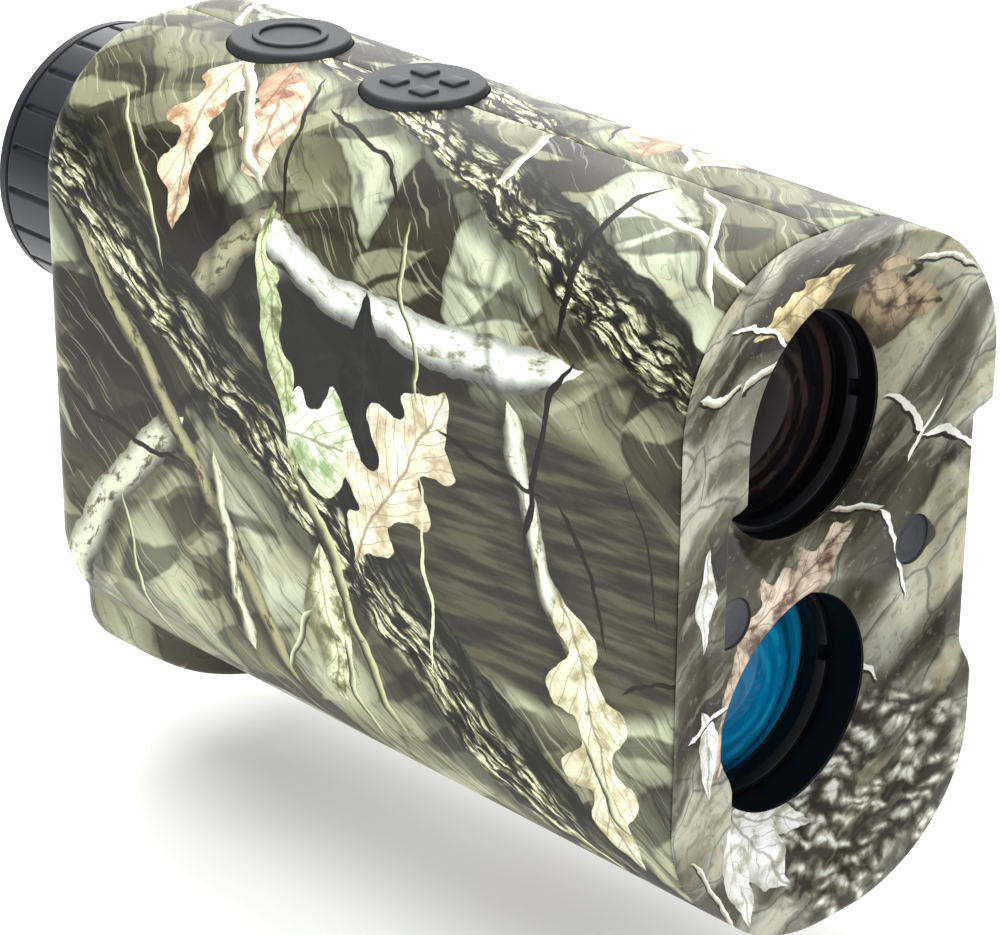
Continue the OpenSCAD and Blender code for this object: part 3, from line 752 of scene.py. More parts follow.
def twig(paint, w, x, y, turn, length, width, bow=0.0, light=(206, 204, 172), dark=(70, 66, 54)):
    """A twig from (x, y), tapered at both ends, lit on one side."""
    t, s = w.after(paint).place(x, y, turn).split()
    t = t / length
    hump = t * t.flip()
    d = s - hump * (4 * bow)
    half = (hump * 7.0).clamp() * (width / 2)
    mask = (half - d.abs()).soft(0, 0.10)
    paint = paint.mix(light, mask)
    if width <= 0.7:
        return paint
    side = (d / (width / 2)).soft(-0.9, 0.7)
    return paint.mix(dark, mask * side.flip())


def bark(t, s, grain, seed):
    """Bark colour in trunk coordinates, t along and s across, in mm."""
    q = (t * (0.20 * grain)).join(s * (0.80 * grain), seed)
    ridges = q.noise(1.0, 5.0, 0.62, 0.6)
    plates = (t * (0.13 * grain) + 7.3).join(s * (0.85 * grain) + ridges * 1.9)
    fissure = plates.cracks(1.0).soft(0.19, 0.05)
    slits = (t * (0.30 * grain)).join(s * (2.1 * grain) + ridges * 2.8).cracks(1.0).soft(0.16, 0.03)
    tone = ridges.ramp((0.36, BARK_DARK), (0.45, BARK_MID), (0.50, (204, 202, 172)), (0.56, BARK_PALE))
    return tone.mix((66, 64, 52), slits * 0.55).mix((24, 25, 20), fissure * 0.95)


def trunk(paint, w, x, y, turn, length, width, bow, grain=1.0, seed=0.0):
    """A trunk band: pale cracked bark on the lower side, in shadow along its upper edge."""
    t, s = w.after(paint).place(x, y, turn).split()
    u = t / length
    d = s - u * u.flip() * (4 * bow)
    half = width / 2
    wave = w.noise(0.30, 2.0) * 1.0 - 0.5
    inside = (-(d.abs() + wave) + half).soft(0, 0.35)
    across = (d / half + wave * 0.35).soft(-0.20, 0.62)
    colour = bark(t, d, grain, seed).mix((54, 56, 44), across * 0.90)
    colour = colour.mix((70, 68, 54), (d / half).soft(-0.72, -1.0) * 0.7)
    shadow = (-(d + half * 0.30).abs() + half * 1.45).soft(0, 2.6) * 0.60
    return paint.mix((48, 48, 38), shadow).mix(colour, inside)


def branch(paint, w, x, y, turn, length, width, bow, pale=(222, 224, 206), mid=(142, 138, 116), seed=0.0):
    """A smooth grey branch, round in section, with blotched bark."""
    t, s = w.after(paint).place(x, y, turn).split()
    u = t / length
    hump = u * u.flip()
    d = s - hump * (4 * bow)
    half = (hump * 12.0).clamp() * (width / 2)
    mask = (half - d.abs()).soft(0, 0.16)
    blotch = (t * 0.28).join(d * 0.7, seed).noise(1.0, 5.0, 0.65, 0.6)
    skin = blotch.ramp((0.24, (110, 106, 90)), (0.36, mid), (0.46, pale))
    around = (d / (width / 2)).soft(-0.95, -0.05)
    top = (d / (width / 2)).soft(0.35, 1.0)
    skin = skin.mix((58, 56, 46), around.flip() * 0.8).mix((86, 84, 68), top * 0.55)
    cast = (half - (d + width * 0.3).abs()).soft(-1.2, 0.4) * 0.5
    return paint.mix((50, 50, 40), cast).mix(skin, mask)


# Leaf edges as (place along the leaf, share of the half width)
OAK_A = ((0, 0), (0.05, 0.10), (0.14, 0.34), (0.20, 0.22), (0.27, 0.55), (0.36, 0.86), (0.42, 0.62),
         (0.47, 0.34), (0.55, 0.70), (0.62, 0.98), (0.68, 0.72), (0.73, 0.36), (0.80, 0.56),
         (0.87, 0.42), (0.95, 0.16), (1, 0))
OAK_B = ((0, 0), (0.06, 0.08), (0.16, 0.46), (0.22, 0.60), (0.28, 0.30), (0.38, 0.48), (0.46, 0.94),
         (0.52, 0.66), (0.58, 0.28), (0.66, 0.50), (0.74, 0.78), (0.80, 0.40), (0.88, 0.30),
         (0.96, 0.14), (1, 0))
MAPLE = ((0, 0), (0.06, 0.46), (0.20, 0.96), (0.33, 0.60), (0.44, 0.56), (0.62, 1.0), (0.74, 0.62),
         (0.90, 0.30), (1, 0))
PLAIN = ((0, 0), (0.08, 0.30), (0.25, 0.74), (0.45, 0.98), (0.62, 0.86), (0.80, 0.46), (0.93, 0.16), (1, 0))
TORN = ((0, 0), (0.05, 0.26), (0.18, 0.42), (0.24, 0.86), (0.30, 0.50), (0.40, 0.66), (0.50, 0.40),
        (0.56, 0.80), (0.63, 0.60), (0.74, 0.30), (0.84, 0.44), (0.92, 0.18), (1, 0))


def leaf(paint, w, x, y, turn, length, width, light, dark, upper, lower, vein=VEIN, shade_side=0.4):
    """A dry leaf from its stalk at (x, y): outline from two half-width curves, veins, a curled dark side."""
    t, s = w.after(paint).place(x, y, turn).split()
    u = t / length
    v = s / (width / 2)
    gap = (u.curve(upper) - v).low(u.curve(lower) + v)
    mask = gap.soft(0, 0.3 / width)
    blotch = w.noise(0.35, 4.0, 0.6)
    skin = blotch.ramp((0.34, dark), (0.52, light), (0.68, [min(255, c + 18) for c in light]))
    ribs = (t * 0.42 - s.abs() * 0.55).math("PINGPONG", 0.5).soft(0.0, 0.07)
    mid = s.abs().soft(0.05, 0.28)
    skin = skin.mix(vein, (ribs * mid).flip() * 0.55)
    skin = skin.mix(dark, (-v).soft(-0.1, 0.9) * shade_side)
    cast = (gap + 0.16).soft(0, 0.5) * (-v).soft(-1.3, 0.5) * 0.7
    return paint.mix((44, 46, 38), cast).mix(skin, mask)


def spot(x, y, at, radii):
    """Squared distance from a point, 1 on the ellipse with these radii."""
    return ((x - at[0]) / radii[0]).math("POWER", 2.0) + ((y - at[1]) / radii[1]).math("POWER", 2.0)


def ground(p, w):
    """Out-of-focus leaf litter: broad soft leaves in pale green-grey, olive and brown."""
    lean = w.place(31.0, 17.0, -38).split()
    cells = (lean[0] * 0.050).join(lean[1] * 0.115, 1.0)
    edge = cells.cracks(1.0)
    pick = cells.cell() * 0.62 + p.noise(0.030, 2.0) * 0.75 - 0.18
    colour = pick.ramp((0.13, (64, 62, 52)), (0.27, (98, 94, 78)), (0.41, (148, 146, 122)),
                       (0.54, (196, 200, 176)), (0.80, (218, 224, 204)))
    colour = colour.mix((74, 70, 56), edge.soft(0.0, 0.035).flip() * 0.55)
    colour = colour.mix((92, 88, 70), edge.soft(0.0, 0.30).flip() * 0.35)
    fold = (lean[0] * 0.10).join(lean[1] * 0.45).noise(1.0, 3.0, 0.6)
    colour = colour.mix((80, 76, 62), fold.soft(0.50, 0.74) * 0.60)
    small = w.place(9.0, 4.0, 28).split()
    scrap = (small[0] * 0.10).join(small[1] * 0.26, 5.0)
    pick, rim = scrap.cell(), scrap.cracks(1.0)
    colour = colour.mix((202, 202, 176), pick.soft(0.70, 0.74) * rim.soft(0.05, 0.16) * 0.55)
    colour = colour.mix((58, 54, 44), pick.soft(0.30, 0.26) * rim.soft(0.02, 0.16) * 0.60)
    strand = (lean[0] * 0.07).join(lean[1] * 1.6, 8.0).noise(1.0, 2.0, 0.6)
    colour = colour.mix((60, 56, 44), strand.soft(0.60, 0.68) * 0.4)
    return colour.mix((222, 224, 200), strand.soft(0.38, 0.32) * 0.35)


def wobble(p, scale, rough, reach):
    """Two noises, and the coordinates bent by them."""
    n1 = p.noise(scale, 4.0, rough)
    n2 = p.shift((37.0, 11.0, 0)).noise(scale, 4.0, rough)
    return n1, n2, p.shift(((n1 - 0.5) * reach).join((n2 - 0.5) * reach))


def bezel_litter(p, n1, n2, w):
    """The bezel's soft litter, and its knobbly bark at the lower right."""
    lean = w.place(0, 0, 34).split()
    drift = (lean[0] * 0.050).join(lean[1] * 0.11).noise(1.0, 3.0, 0.45, 0.15)
    paint = drift.ramp((0.36, (84, 80, 68)), (0.45, (128, 124, 106)), (0.53, (152, 152, 138)),
                       (0.66, (198, 198, 182)))
    scrap = (lean[0] * 0.075).join(lean[1] * 0.15, 2.0)
    pick, rim = scrap.cell(), scrap.cracks(1.0)
    paint = paint.mix((90, 82, 66), pick.soft(0.34, 0.28) * rim.soft(0.02, 0.20) * 0.7)
    paint = paint.mix((196, 190, 166), pick.soft(0.66, 0.72) * rim.soft(0.02, 0.14) * 0.7)
    paint = paint.mix((66, 62, 52), rim.soft(0.0, 0.03).flip() * 0.5)
    fold = (lean[0] * 0.09).join(lean[1] * 0.40, 3.0).noise(1.0, 3.0, 0.55)
    paint = paint.mix((76, 72, 60), fold.soft(0.54, 0.72) * 0.45)
    paint = paint.mix((212, 210, 192), fold.soft(0.42, 0.28) * 0.35)
    speck = w.noise(0.9, 3.0, 0.6)
    paint = paint.mix((84, 80, 68), speck.soft(0.56, 0.70) * 0.25)
    paint = paint.mix((216, 214, 198), speck.soft(0.38, 0.28) * 0.2)
    lump = p.shift(((n2 - 0.5) * 5.0).join(n1 * 5.0)).place(0, 0, -28, 1.7, 0.85)
    knob = lump.cracks(0.52, "F1") * 0.8 + w.noise(0.55, 3.0, 0.6) * 0.7 - 0.30
    rough = knob.ramp((0.08, (236, 236, 226)), (0.24, (186, 184, 170)), (0.38, (132, 128, 112)),
                      (0.56, (76, 72, 62)))
    x, y = w.split()
    zone = spot(x, y, (8.0, 8.0), (14.0, 13.0)).soft(1.25, 0.7)
    return paint.mix(rough, zone * fold.soft(0.70, 0.50) * 0.9)


def bezel_layers(p):
    """The print on the bezel over (x, z) in mm: soft litter, twigs, tan leaves, petals and knobbly bark."""
    n1, n2, w = wobble(p, 0.16, 0.45, 3.4)
    paint = bezel_litter(p, n1, n2, w)
    for shape in (
            (-15, 20, 66, 22, 6, (214, 202, 182), (132, 114, 96), PLAIN, PLAIN, (96, 82, 68)),
            (-12, 34, 24, 19, 9, (220, 208, 190), (136, 116, 98), TORN, PLAIN, (96, 82, 68)),
            (-13, 64, 12, 14, 6.5, (226, 212, 176), (164, 150, 118), TORN, PLAIN),
            (3, 65, -22, 13, 7, (190, 176, 150), (104, 92, 76), PLAIN, PLAIN, (84, 74, 62), 0.9)):
        paint = leaf(paint, w, *shape)
    petal = ((244, 244, 236), (190, 188, 172), PLAIN, PLAIN, (150, 146, 130), 0.6)
    for at in ((-12.5, 15, -24, 14, 5.2), (-12.5, 14.6, -50, 15, 5.6), (-13, 14, -76, 14, 5.0),
               (-17, 28, -84, 10, 3.4), (-17, 45, -96, 11, 3.2)):
        paint = leaf(paint, w, *at, *petal)
    for at in ((8, 54, -42, 9, 0.7, 0.4), (14, 48.2, -28, 13, 0.7, -0.6), (1.5, 44, -24, 7, 0.8, 0.5),
               (7, 41.6, -65, 13.5, 0.7, 0.6), (-22, 62, -20, 9, 1.0, -0.5), (-14, 58, 22, 8, 0.8, 0.3),
               (-17, 69, -42, 13, 0.7, 0.5), (12, 45, 52, 7, 0.6, 0.2), (-20, 12, -58, 16, 0.9, 0.6),
               (2, 27, -32, 9, 0.7, 0.5), (10, 66, -24, 10, 0.8, 0.4), (-20, 25, 20, 8, 0.6, 0.3)):
        paint = twig(paint, w, at[0] - 0.15, at[1] - 0.3, *at[2:], (74, 68, 56), (60, 56, 46))
        paint = twig(paint, w, *at, (240, 240, 228), (176, 166, 144))
    return paint.grade(GRADE, BEZEL_GAIN)


def side_hollows(p, paint, n1, n2):
    """A rippled brown area and two dark hollows under the leaves."""
    x, y = p.split()
    ripple = (x * 0.09).join(y * 0.8 - x * 0.06).noise(1.0, 3.0, 0.5, 0.4)
    brown = ripple.ramp((0.36, (74, 71, 59)), (0.5, (94, 91, 76)), (0.64, (118, 116, 98)))
    paint = paint.mix(brown, spot(x, y, (80.0, 50.0), (24.0, 15.0)).soft(1.15, 0.85) * 0.95)
    hollow = spot(x, y, (51.0, 60.0), (14.0, 11.0)) + (n1 - 0.5) * 1.6
    paint = paint.mix((36, 40, 35), hollow.soft(1.2, 0.7) * 0.95)
    hollow = spot(x, y, (33.0, 69.0), (9.0, 6.0)) + (n2 - 0.5) * 1.6
    return paint.mix((56, 54, 44), hollow.soft(1.2, 0.6) * 0.9)


def camo_layers(p):
    """The print on the shells over coordinates in mm: x runs to the front, y runs up."""
    n1, n2, w = wobble(p, 0.13, 0.42, 3.2)
    paint = side_hollows(p, ground(p, w), n1, n2)
    for layer, *shape in (
            (trunk, 30, 99, -20, 84, 7.6, 0.8, 1.15, 3.0),
            (branch, 6, 20, 52, 36, 4.6, 2.0),
            (branch, 30, 59, 48, 21, 4.4, 2.6, (188, 184, 160), (128, 120, 98), 2.0),
            (branch, 40, 74, -3, 46, 4.8, -4.6, (240, 244, 236), (196, 196, 178), 4.0),
            (leaf, 24, 92, -82, 23, 9, (234, 222, 200), (190, 160, 132), TORN, OAK_B),
            (leaf, 31, 91, -62, 16, 8, (232, 214, 196), (196, 166, 144), PLAIN, TORN),
            (leaf, 30, 93, -70, 9, 6, (208, 176, 152), (170, 136, 114), OAK_B, PLAIN),
            (branch, 76, 66, -66, 34, 2.7, -1.0, (236, 238, 222), (182, 180, 156), 6.0),
            (trunk, -6, 81, -33.5, 122, 10.5, 1.5, 0.9),
            (branch, 10, 66, -51, 56, 2.6, 1.0, (186, 184, 152), (118, 108, 86), 8.0),
            (branch, 33, 46, -76, 22, 1.9, -0.8, (230, 232, 210), (170, 168, 142), 9.0),
            (twig, 44, 50, -57, 34, 1.5, 0.6, (214, 216, 180)),
            (leaf, 41, 76, -80, 30, 4.4, (220, 232, 196), (150, 156, 116), TORN, PLAIN),
            (leaf, 57, 71, -96, 32, 6.5, (40, 44, 38), (16, 18, 15), PLAIN, PLAIN, (70, 72, 60)),
            (leaf, 44.5, 52, 4, 12, 12.5, (236, 242, 222), (176, 194, 152), MAPLE, PLAIN),
            (leaf, 54, 41, 58, 27, 15, (238, 230, 210), (204, 192, 164), OAK_A, OAK_B),
            (leaf, 49, 41, -78, 19, 7, (236, 240, 208), (132, 132, 98), PLAIN, PLAIN, VEIN, 0.9),
            (leaf, 84, 49, -71, 31, 11.5, (238, 234, 212), (192, 184, 150), OAK_B, OAK_A)):
        paint = layer(paint, w, *shape)
    for at in ((78, 90, -14, 24, 1.2, 1.0), (84, 97, -48, 20, 1.0, 0.4), (64, 97, -80, 12, 1.2, 0.0),
               (23, 91, -42, 22, 1.4, 0.5)):
        paint = twig(paint, w, *at, (238, 240, 226), (150, 148, 128))
    for at in ((59, 80, -74, 20, 0.75, 0.5), (13, 82, -52, 22, 0.8, 1.0), (64, 55, -86, 24, 0.6, 0.8),
               (44, 24, 62, 10, 1.0, 0.6), (53, 32, -70, 13, 1.0, -0.6), (17, 37, -78, 22, 0.8, 0.6),
               (87, 34, -50, 12, 0.9, -0.8)):
        paint = twig(paint, w, *at, (222, 226, 196))
    for at in ((82, 95, -88, 22, 0.95, -1.6), (85, 73, -104, 24, 0.9, -1.2), (83, 58, -62, 17, 0.6, 1.0),
               (35, 92, -66, 20, 0.55, 0.7), (6, 68, -46, 18, 0.7, 0.8), (7, 46, -8, 22, 0.7, -1.2),
               (92, 64, -72, 18, 0.4, 0.6), (66, 60, -8, 17, 0.6, -0.8), (40, 88, -24, 19, 0.7, 1.0),
               (92, 40, 22, 10, 0.5, 0.9)):
        paint = twig(paint, w, *at, (62, 54, 44), (40, 36, 30))
    fine = (n2 * 0.3 + p.place(0, 0, 60, 1.0, 2.6).noise(0.11, 2.0)).math("PINGPONG", 0.11)
    paint = paint.mix((70, 64, 52), fine.soft(0.0016, 0.0).clamp() * 0.5)
    return paint.grade(GRADE, SIDE_GAIN)


def print_group(name, layers):
    """The print as a node group, from a vector in mm to a colour."""
    tree = bpy.data.node_groups.new(name, "ShaderNodeTree")
    tree.interface.new_socket("Vector", in_out="INPUT", socket_type="NodeSocketVector")
    tree.interface.new_socket("Color", in_out="OUTPUT", socket_type="NodeSocketColor")
    source = tree.nodes.new("NodeGroupInput")
    out = tree.nodes.new("NodeGroupOutput")
    tree.links.new(layers(Value(tree, source.outputs[0])).socket, out.inputs[0])
    return tree


WOODLAND = print_group("woodland_print", camo_layers)
BEZEL_PRINT = print_group("bezel_print", bezel_layers)


def camo_material(part):
    material, tree, shader = new_material("camo_" + part)
    made = tree.nodes.new("ShaderNodeUVMap")
    made.uv_map = "print"
    uv = Value(tree, made.outputs[0])
    if part == "left":
        p = uv.place(60, 0, 0, -1, 1)
    elif part == "right":
        p = uv.place(-44, 3, 0)
    elif part == "bezel":
        p = uv
    else:
        p = object_mm(tree).place(-30, -10, 20)
    group = tree.nodes.new("ShaderNodeGroup")
    group.node_tree = BEZEL_PRINT if part == "bezel" else WOODLAND
    tree.links.new(p.socket, group.inputs[0])
    paint = Value(tree, group.outputs[0])
    if part == "cap":
        height = Value(tree, p.node("ShaderNodeSeparateXYZ", object_mm(tree)).outputs[2])
        face = box_mm("battery_cap")[0][2] + 1.7
        paint = paint.mix((20, 22, 26), height.soft(face, face + 0.05))
    grain = p.noise(3.2, 2.0)
    paint = paint.mix((100, 100, 92), grain.soft(0.45, 0.8) * 0.03)
    paint = paint.mix((24, 24, 20), grain.soft(0.55, 0.2) * 0.08)
    put(tree, shader.inputs["Base Color"], paint)
    put(tree, shader.inputs["Roughness"], grain.soft(0.2, 0.8) * 0.10 + 0.36)
    put(tree, shader.inputs["Specular IOR Level"], 0.22)
    bump(tree, shader, grain, 0.06, 0.00003)
    return material


# ---------------------------------------------------------------- small parts
def build_key(name, marks):
    y = KEY_Y[name]
    top = KEY_TOP - 0.3
    foot, stem = BODY_H - 0.9, box_mm(name)[0][2]
    profile = [(0.001, stem), (1.5, stem), (1.5, stem + 0.1), (7.5, stem + 0.1), (7.5, stem + 0.8),
               (KEY_R, stem + 0.8), (KEY_R + 0.3, foot), (KEY_R + 0.25, foot + 0.5), (KEY_R, top),
               (0.001, top - 0.06)]
    profile = rounded(profile, [0, 0, 0, 0.1, 0.2, 0, 0.1, 0.2, 0.6, 0], 8)
    verts, faces = lathe(profile, "z", (0, y, 0), 96)
    verts = [tuple(v) for v in verts]
    for v, f in marks(y, top):
        faces += [tuple(i + len(verts) for i in q) for q in f]
        verts += [tuple(p) for p in v]
    key = make_object(name + "_rubber", verts, faces, frame_body[name], "key_rubber", mats["rubber"], None, 42)
    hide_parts(name)


def ring_mark(y, top):
    low, high, inner, outer = top - 0.4, top + 0.3, 3.25, 4.05
    profile = [(inner, low), (outer, low), (outer, high), (inner, high)]
    yield lathe(rounded(profile, [0, 0, 0.22, 0.22], 4), "z", (0, y, 0), 72)


def square_marks(y, top):
    """Four raised squares with round corners."""
    half, pitch, r = 1.2, 4.3, 0.32
    for i in (-0.5, 0.5):
        for j in (-0.5, 0.5):
            v = []
            for inset, z in ((0, top - 0.4), (0, top + 0.12), (0.06, top + 0.24), (0.18, top + 0.3)):
                side = half - inset - r
                for q in range(4):
                    cx = math.copysign(side, math.cos(math.pi / 4 + q * math.pi / 2))
                    cy = math.copysign(side, math.sin(math.pi / 4 + q * math.pi / 2))
                    for s in range(4):
                        a = math.pi / 2 * (q + s / 3)
                        v.append((i * pitch + cx + r * math.cos(a), y + j * pitch + cy + r * math.sin(a), z))
            n = len(v) // 4
            f = [(k * n + c, k * n + (c + 1) % n, (k + 1) * n + (c + 1) % n, (k + 1) * n + c)
                 for k in range(3) for c in range(n)]
            f += [tuple(range(n)), tuple(range(3 * n, 4 * n))]
            yield v, f


def turned_part(name, node, profile, radii, centre, material, slot, segments=128, steps=5, smooth=35,
                radius_fn=None, axis="y"):
    """A solid of revolution with rounded corners in place of a CAD node."""
    verts, faces = lathe(rounded(profile, radii, steps), axis, centre, segments, radius_fn)
    part = make_object(name, verts, faces, frame_body[node], slot, material, None, smooth)
    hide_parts(node)
    return part


def lens_profile(y0, y1, r, front, back):
    """Biconvex lens outline as (radius, y) from the front apex to the rear apex."""
    out = []
    for k in range(25):
        q = r * k / 24
        out.append((max(q, 1e-3), y0 + front - math.sqrt(front ** 2 - q * q)))
    for k in range(25):
        q = r * (24 - k) / 24
        out.append((max(q, 1e-3), y1 - back + math.sqrt(back ** 2 - q * q)))
    return out


def build_optics():
    aim, rec, cell = (0, 0, AIM_Z), (0, 0, RECEIVE_Z), "black_plastic"
    for name, centre, shape, material, slot in (
            ("objective_crown", aim, (11.5, 40, 30), mats["dark_glass"], "clear_glass"),
            ("receiver_lens", rec, (11.5, 24, 80), mats["teal_glass"], "teal_glass")):
        lo, hi = box_mm(name)
        verts, faces = lathe(lens_profile(lo[1], hi[1], *shape), "y", centre, 128)
        lens = make_object(name + "_glass", verts, faces, "housing", slot, material, smooth=50)
        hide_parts(name)
    for name, centre in (("objective_retainer", aim), ("receiver_retainer", rec)):
        lo, hi = box_mm(name)
        y0, y1, r = lo[1], hi[1], hi[0]
        profile = [(r, y0), (r, y1), (10.4, y1), (10.4, y0 + 0.9), (10.9, y0)]
        ring = turned_part(name + "_ring", name, profile, [0.12, 0.05, 0.1, 0.15, 0.12], centre,
                           mats["retainer"], cell, 144, 3)
        subtract(ring, [slab((-13, y0 - 1, centre[2] - 0.9), (13, y0 + 0.8, centre[2] + 0.9))])
        shade(ring.data, 35)
    for name, centre in (("objective_cell", aim), ("receiver_cell", rec)):
        lo, hi = box_mm(name)
        seat = box_mm(name.replace("cell", "crown" if "obj" in name else "lens"))[1][1] + 0.6
        bore, stop = 11.6, 10.2
        profile = [(13.0, lo[1]), (13.0, -24.4), (14.2, -24.4), (14.2, -22.1), (13.0, -22.1), (13.0, hi[1]),
                   (stop, hi[1]), (stop, seat), (bore, seat), (bore, lo[1] + 0.25), (bore + 0.25, lo[1])]
        turned_part(name + "_tube", name, profile, [0.2, 0, 0.1, 0.1, 0, 0.2, 0.1, 0.1, 0.05, 0, 0], centre,
                    mats["cell"], cell, 128, 3)


def build_eyepiece():
    lo, hi = box_mm("diopter_ring")
    y0, y1, r = lo[1], hi[1], hi[0]
    grooves = 20

    def ribbed(radius, y, a):
        if radius < r - 0.75 or not y0 + 0.8 < y < y1 - 0.9:
            return radius
        turn = abs((a * grooves / (2 * math.pi) + 0.5) % 1 - 0.5) * 2 * math.pi * r / grooves
        return radius - 0.42 * max(0.0, 1 - (turn / 0.42) ** 2)

    body = [(12.68, y0), (r - 0.45, y0), (r, y0 + 0.5)]
    body += [(r, y0 + 0.8 + (y1 - y0 - 1.8) * k / 10) for k in range(11)]
    waist = r - 0.35
    body += [(r, y1 - 0.75), (waist, y1 - 0.55), (waist, y1 - 0.35), (r, y1 - 0.2), (r, y1), (12.68, y1)]
    radii = [0.1, 0.2, 0.3] + [0] * 11 + [0.12, 0.08, 0.08, 0.08, 0, 0]
    turned_part("diopter_ring_grip", "diopter_ring", body, radii, (0, 0, AIM_Z), mats["ring"], "ring_plastic",
                720, 4, 30, ribbed)
    end = box_mm("eyecup")[1][1]
    cup = [(9.6, y1 - 2.2), (12.6, y1 - 2.2), (12.6, y1 + 0.02), (r - 0.02, y1 + 0.02), (r - 0.02, end - 0.1),
           (13.2, end), (9.6, y1 - 0.6)]
    turned_part("eyecup_rubber", "eyecup", cup, [0.1, 0.1, 0, 0.05, 0.75, 0.7, 0.35], (0, 0, AIM_Z),
                mats["eyecup"], "key_rubber", 160, 6, 40)
    lo, hi = box_mm("eye_lens")
    verts, faces = lathe(lens_profile(lo[1], hi[1], 9.65, 26, 60), "y", (0, 0, AIM_Z), 96)
    lens = make_object("eye_lens_glass", verts, faces, "eyepiece_carrier", "clear_glass", mats["dark_glass"],
                       smooth=50)
    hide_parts("eye_lens")


def build_plugs():
    verts, faces = [], []
    for x in PLUG_X:
        profile = [(0.001, 0.42), (1.4, 0.34), (2.3, 0.16), (2.6, 0.2), (2.6, 1.0), (0.001, 1.0)]
        profile = [(r, FLOOR_Y + depth) for r, depth in profile]
        v, f = lathe(rounded(profile, [0, 0.5, 0.15, 0.1, 0, 0], 4), "y", (x, 0, MID_Z), 48)
        faces += [tuple(i + len(verts) for i in q) for q in f]
        verts += [tuple(p) for p in v]
    plug = make_object("bezel_plug_caps", verts, faces, "housing", "black_plastic", mats["plug"], smooth=40)
    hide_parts("bezel_plugs")


def build_door():
    lo, hi = box_mm("battery_cap")
    r, z0, z1, skirt, bore, groove = hi[0], lo[2], lo[2] + 1.9, 9.4, 8.2, 8.77
    profile = [(0.001, z0), (r, z0), (r, z1), (skirt, z1), (skirt, z1 + 0.35), (groove, z1 + 0.35),
               (groove, z1 + 1.15), (skirt, z1 + 1.15), (skirt, hi[2]), (bore, hi[2]), (bore, z1),
               (0.001, z1)]
    radii = [0, 0.35, 0.1, 0, 0, 0, 0, 0, 0.2, 0.1, 0.1, 0]
    cap = turned_part("battery_cap_skin", "battery_cap", profile, radii, (0, BATTERY_Y, 0), mats["cap"],
                      "camo_print", 144, 3, 35, axis="z")
    tab_y = BATTERY_Y + 0.6
    pocket = rod("z", (0, BATTERY_Y, 0), 8.8, z0 - 1, z0 + 1.1, 96)
    keep = slab((-12, BATTERY_Y - 12, z0 - 2), (12, tab_y - 0.9, z0 + 2))
    sides = [slab((x, BATTERY_Y - 12, z0 - 2), (x + 6, BATTERY_Y + 12, z0 + 2)) for x in (-12, 6)]
    subtract(pocket, [keep] + sides)
    subtract(cap, [pocket, rod_x(tab_y, z0 + 0.75, 0.9, -6, 6, 32)])
    shade(cap.data, 35)
    shade_part("cap_tab", 35)


# ---------------------------------------------------------------- materials of the pieces
mats = {
    "left_shell": camo_material("left"),
    "right_shell": camo_material("right"),
    "bezel": camo_material("bezel"),
    "cap": camo_material("cap"),
    "filter_glass": glass_material("filter_glass", (70, 14, 20), (220, 120, 140)),
    "clear_glass": glass_material("clear_glass", (190, 204, 210), (200, 220, 230), clear=0.9),
    # the dark and teal glass carry painted reflections, rings put into their base colour
    "dark_glass": glass_material("dark_glass", (16, 12, 13), (120, 105, 110), shine=0.14,
                                 reflection_arcs=(AIM_Z, (56, 44, 42))),
    "teal_glass": glass_material("teal_glass", (2, 92, 134), (60, 190, 220), shine=0.3,
                                 reflection_arcs=(RECEIVE_Z, (20, 140, 176))),
}
for key, name, colour, rough, more in (
        ("rubber", "rubber_keys", (30, 32, 36), 0.5,
         dict(grain=0.25, grain_size=6.0, wear=0.05, Specular_IOR_Level=0.35)),
        ("ring", "ring_plastic", (17, 21, 30), 0.36, dict(grain=0.1, grain_size=5.0, wear=0.05)),
        ("eyecup", "eyecup_rubber", (19, 22, 30), 0.5, dict(grain=0.2, grain_size=5.0, wear=0.05)),
        ("plug", "plug_plastic", (28, 31, 42), 0.42, dict(grain=0.15, wear=0.08)),
        ("cell", "cell_black", (3, 4, 8), 0.42, dict(grain=0.05, wear=0.0, Specular_IOR_Level=0.25)),
        ("retainer", "retainer_black", (4, 6, 12), 0.38, dict(grain=0.05, wear=0.0, Specular_IOR_Level=0.25)),
        ("black_plastic", "black_plastic", (22, 24, 28), 0.5, {}),
        ("seal_rubber", "seal_rubber", (16, 16, 17), 0.6, {}),
        ("steel", "steel", (176, 178, 182), 0.32, dict(metal=1.0, grain=0.2, grain_size=8.0)),
        ("brass", "brass", (186, 150, 88), 0.3, dict(metal=1.0, grain=0.2, grain_size=8.0)),
        ("circuit_board", "circuit_board", (22, 84, 52), 0.42, dict(grain=0.3, coat=0.3)),
        ("chip_epoxy", "chip_epoxy", (24, 24, 26), 0.5, {}),
        ("flex_film", "flex_film", (178, 112, 40), 0.35, dict(coat=0.2)),
        ("wire_sleeve", "wire_sleeve", (160, 34, 30), 0.4, {}),
        ("chassis_alloy", "chassis_alloy", (96, 98, 102), 0.45, dict(metal=0.9, grain=0.5, grain_size=3.0)),
        ("battery_wrap", "battery_wrap", (44, 84, 140), 0.3, dict(coat=0.4))):
    mats[key] = finish_material(name, colour, rough, **more)
plain_cut = mats["cell"]
frame_body = {n: o["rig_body"] for n, o in frame["nodes"].items()}
PLUG_X = (-13.2, 13.2)
SCREWS = [(-28, 5.1), (12, 6), (-6, 66.3), (28, 22), (46.25, 67)]


def shade_part(node, angle):
    mesh = frame["nodes"][node].data
    mesh.shade_smooth()
    mesh.set_sharp_from_angle(angle=math.radians(angle))


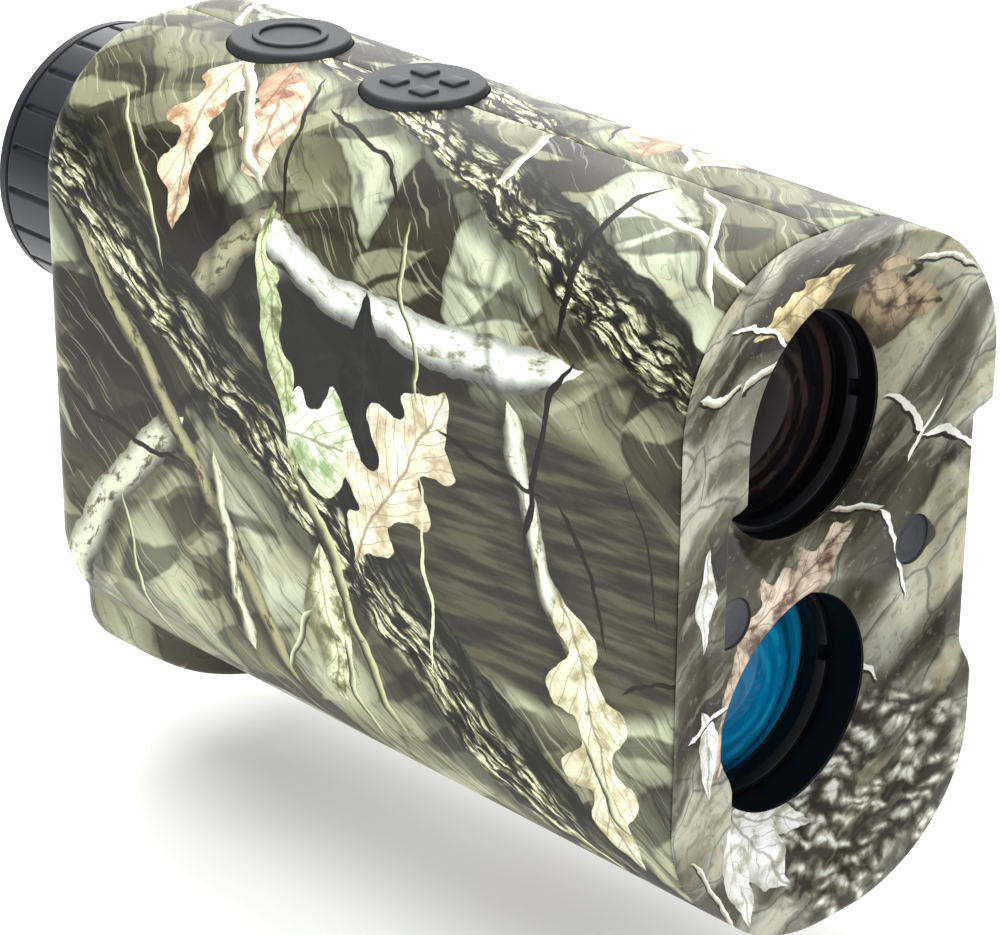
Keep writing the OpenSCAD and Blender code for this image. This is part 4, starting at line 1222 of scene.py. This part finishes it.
# ---------------------------------------------------------------- stage
def build_stage():
    lo, hi = box_mm("cap_tab")
    floor_z = cad_box[0][2] - 0.0055 - (hi[1] - lo[1]) / 1000  # clear of the unscrewed cap with its tab out
    bm = bmesh.new()
    bmesh.ops.create_grid(bm, x_segments=2, y_segments=2, size=4.0)
    mesh = bpy.data.meshes.new("floor")
    bm.to_mesh(mesh)
    bm.free()
    floor = bpy.data.objects.new("floor", mesh)
    floor.location = (0, 0, floor_z)
    scene.collection.objects.link(floor)
    material, _, shader = new_material("floor_white")
    shader.inputs["Base Color"].default_value = (0.92, 0.92, 0.92, 1)
    shader.inputs["Roughness"].default_value = 0.9
    shader.inputs["Specular IOR Level"].default_value = 0.0
    mesh.materials.append(material)
    world = bpy.data.worlds.new("studio")
    world.use_nodes = True
    sky = world.node_tree.nodes["Background"]
    sky.inputs["Color"].default_value = (1, 1, 1, 1)
    sky.inputs["Strength"].default_value = 0.52
    scene.world = world
    for name, at, size, power in (
            ("top_box", (-0.02, 0.10, 0.50), 0.60, 3.3),
            ("back_box", (0.38, 0.385, 0.29), 0.50, 2.0),
            ("front_box", (0.10, -0.60, 0.30), 0.40, 1.4),
            ("left_box", (-0.60, -0.05, 0.22), 0.40, 0.8)):
        data = bpy.data.lights.new(name, "AREA")
        data.size, data.energy = size, power
        light = bpy.data.objects.new(name, data)
        light.location = at
        light.rotation_euler = (Vector((0, 0, 0.035)) - Vector(at)).to_track_quat("-Z", "Y").to_euler()
        scene.collection.objects.link(light)


AZIMUTH, ELEVATION, ROLL = -44.56, 24.92, 0.37
DISTANCE, AIM_POINT, SHIFT_RIGHT, SHIFT_UP = 0.37824, Vector((0, 0, 0.036)), -0.00279, -0.00141


def build_camera():
    a, e, r = (math.radians(v) for v in (AZIMUTH, ELEVATION, ROLL))
    back = Vector((math.sin(a) * math.cos(e), -math.cos(a) * math.cos(e), math.sin(e)))
    right = Vector((math.cos(a), math.sin(a), 0))
    up = back.cross(right)
    right, up = right * math.cos(r) + up * math.sin(r), up * math.cos(r) - right * math.sin(r)
    data = bpy.data.cameras.new("camera")
    data.lens, data.sensor_width = 131.49, 36.0
    data.clip_start, data.clip_end = 0.01, 20
    camera = bpy.data.objects.new("camera", data)
    turn = Matrix((right, up, back)).transposed().to_4x4()
    at = AIM_POINT + back * DISTANCE + right * SHIFT_RIGHT + up * SHIFT_UP
    camera.matrix_world = Matrix.Translation(at) @ turn
    scene.collection.objects.link(camera)
    scene.camera = camera


# ---------------------------------------------------------------- build
build_shell("left_shell", -1)
build_shell("right_shell", 1)
build_bezel()
build_plugs()
build_key("power_button", ring_mark)
build_key("mode_button", square_marks)
build_optics()
build_eyepiece()
build_door()
build_stage()
build_camera()
scene.view_settings.view_transform = "Standard"
scene.view_settings.look = "None"

slots = {"camo_print": mats["cap"], "key_rubber": mats["rubber"], "ring_plastic": mats["ring"]}
for node, obj in frame["nodes"].items():
    for held in obj.material_slots:
        key = held.material.name.split(".")[0] if held.material else ""
        held.material = slots.get(key) or mats.get(key) or mats["black_plastic"]
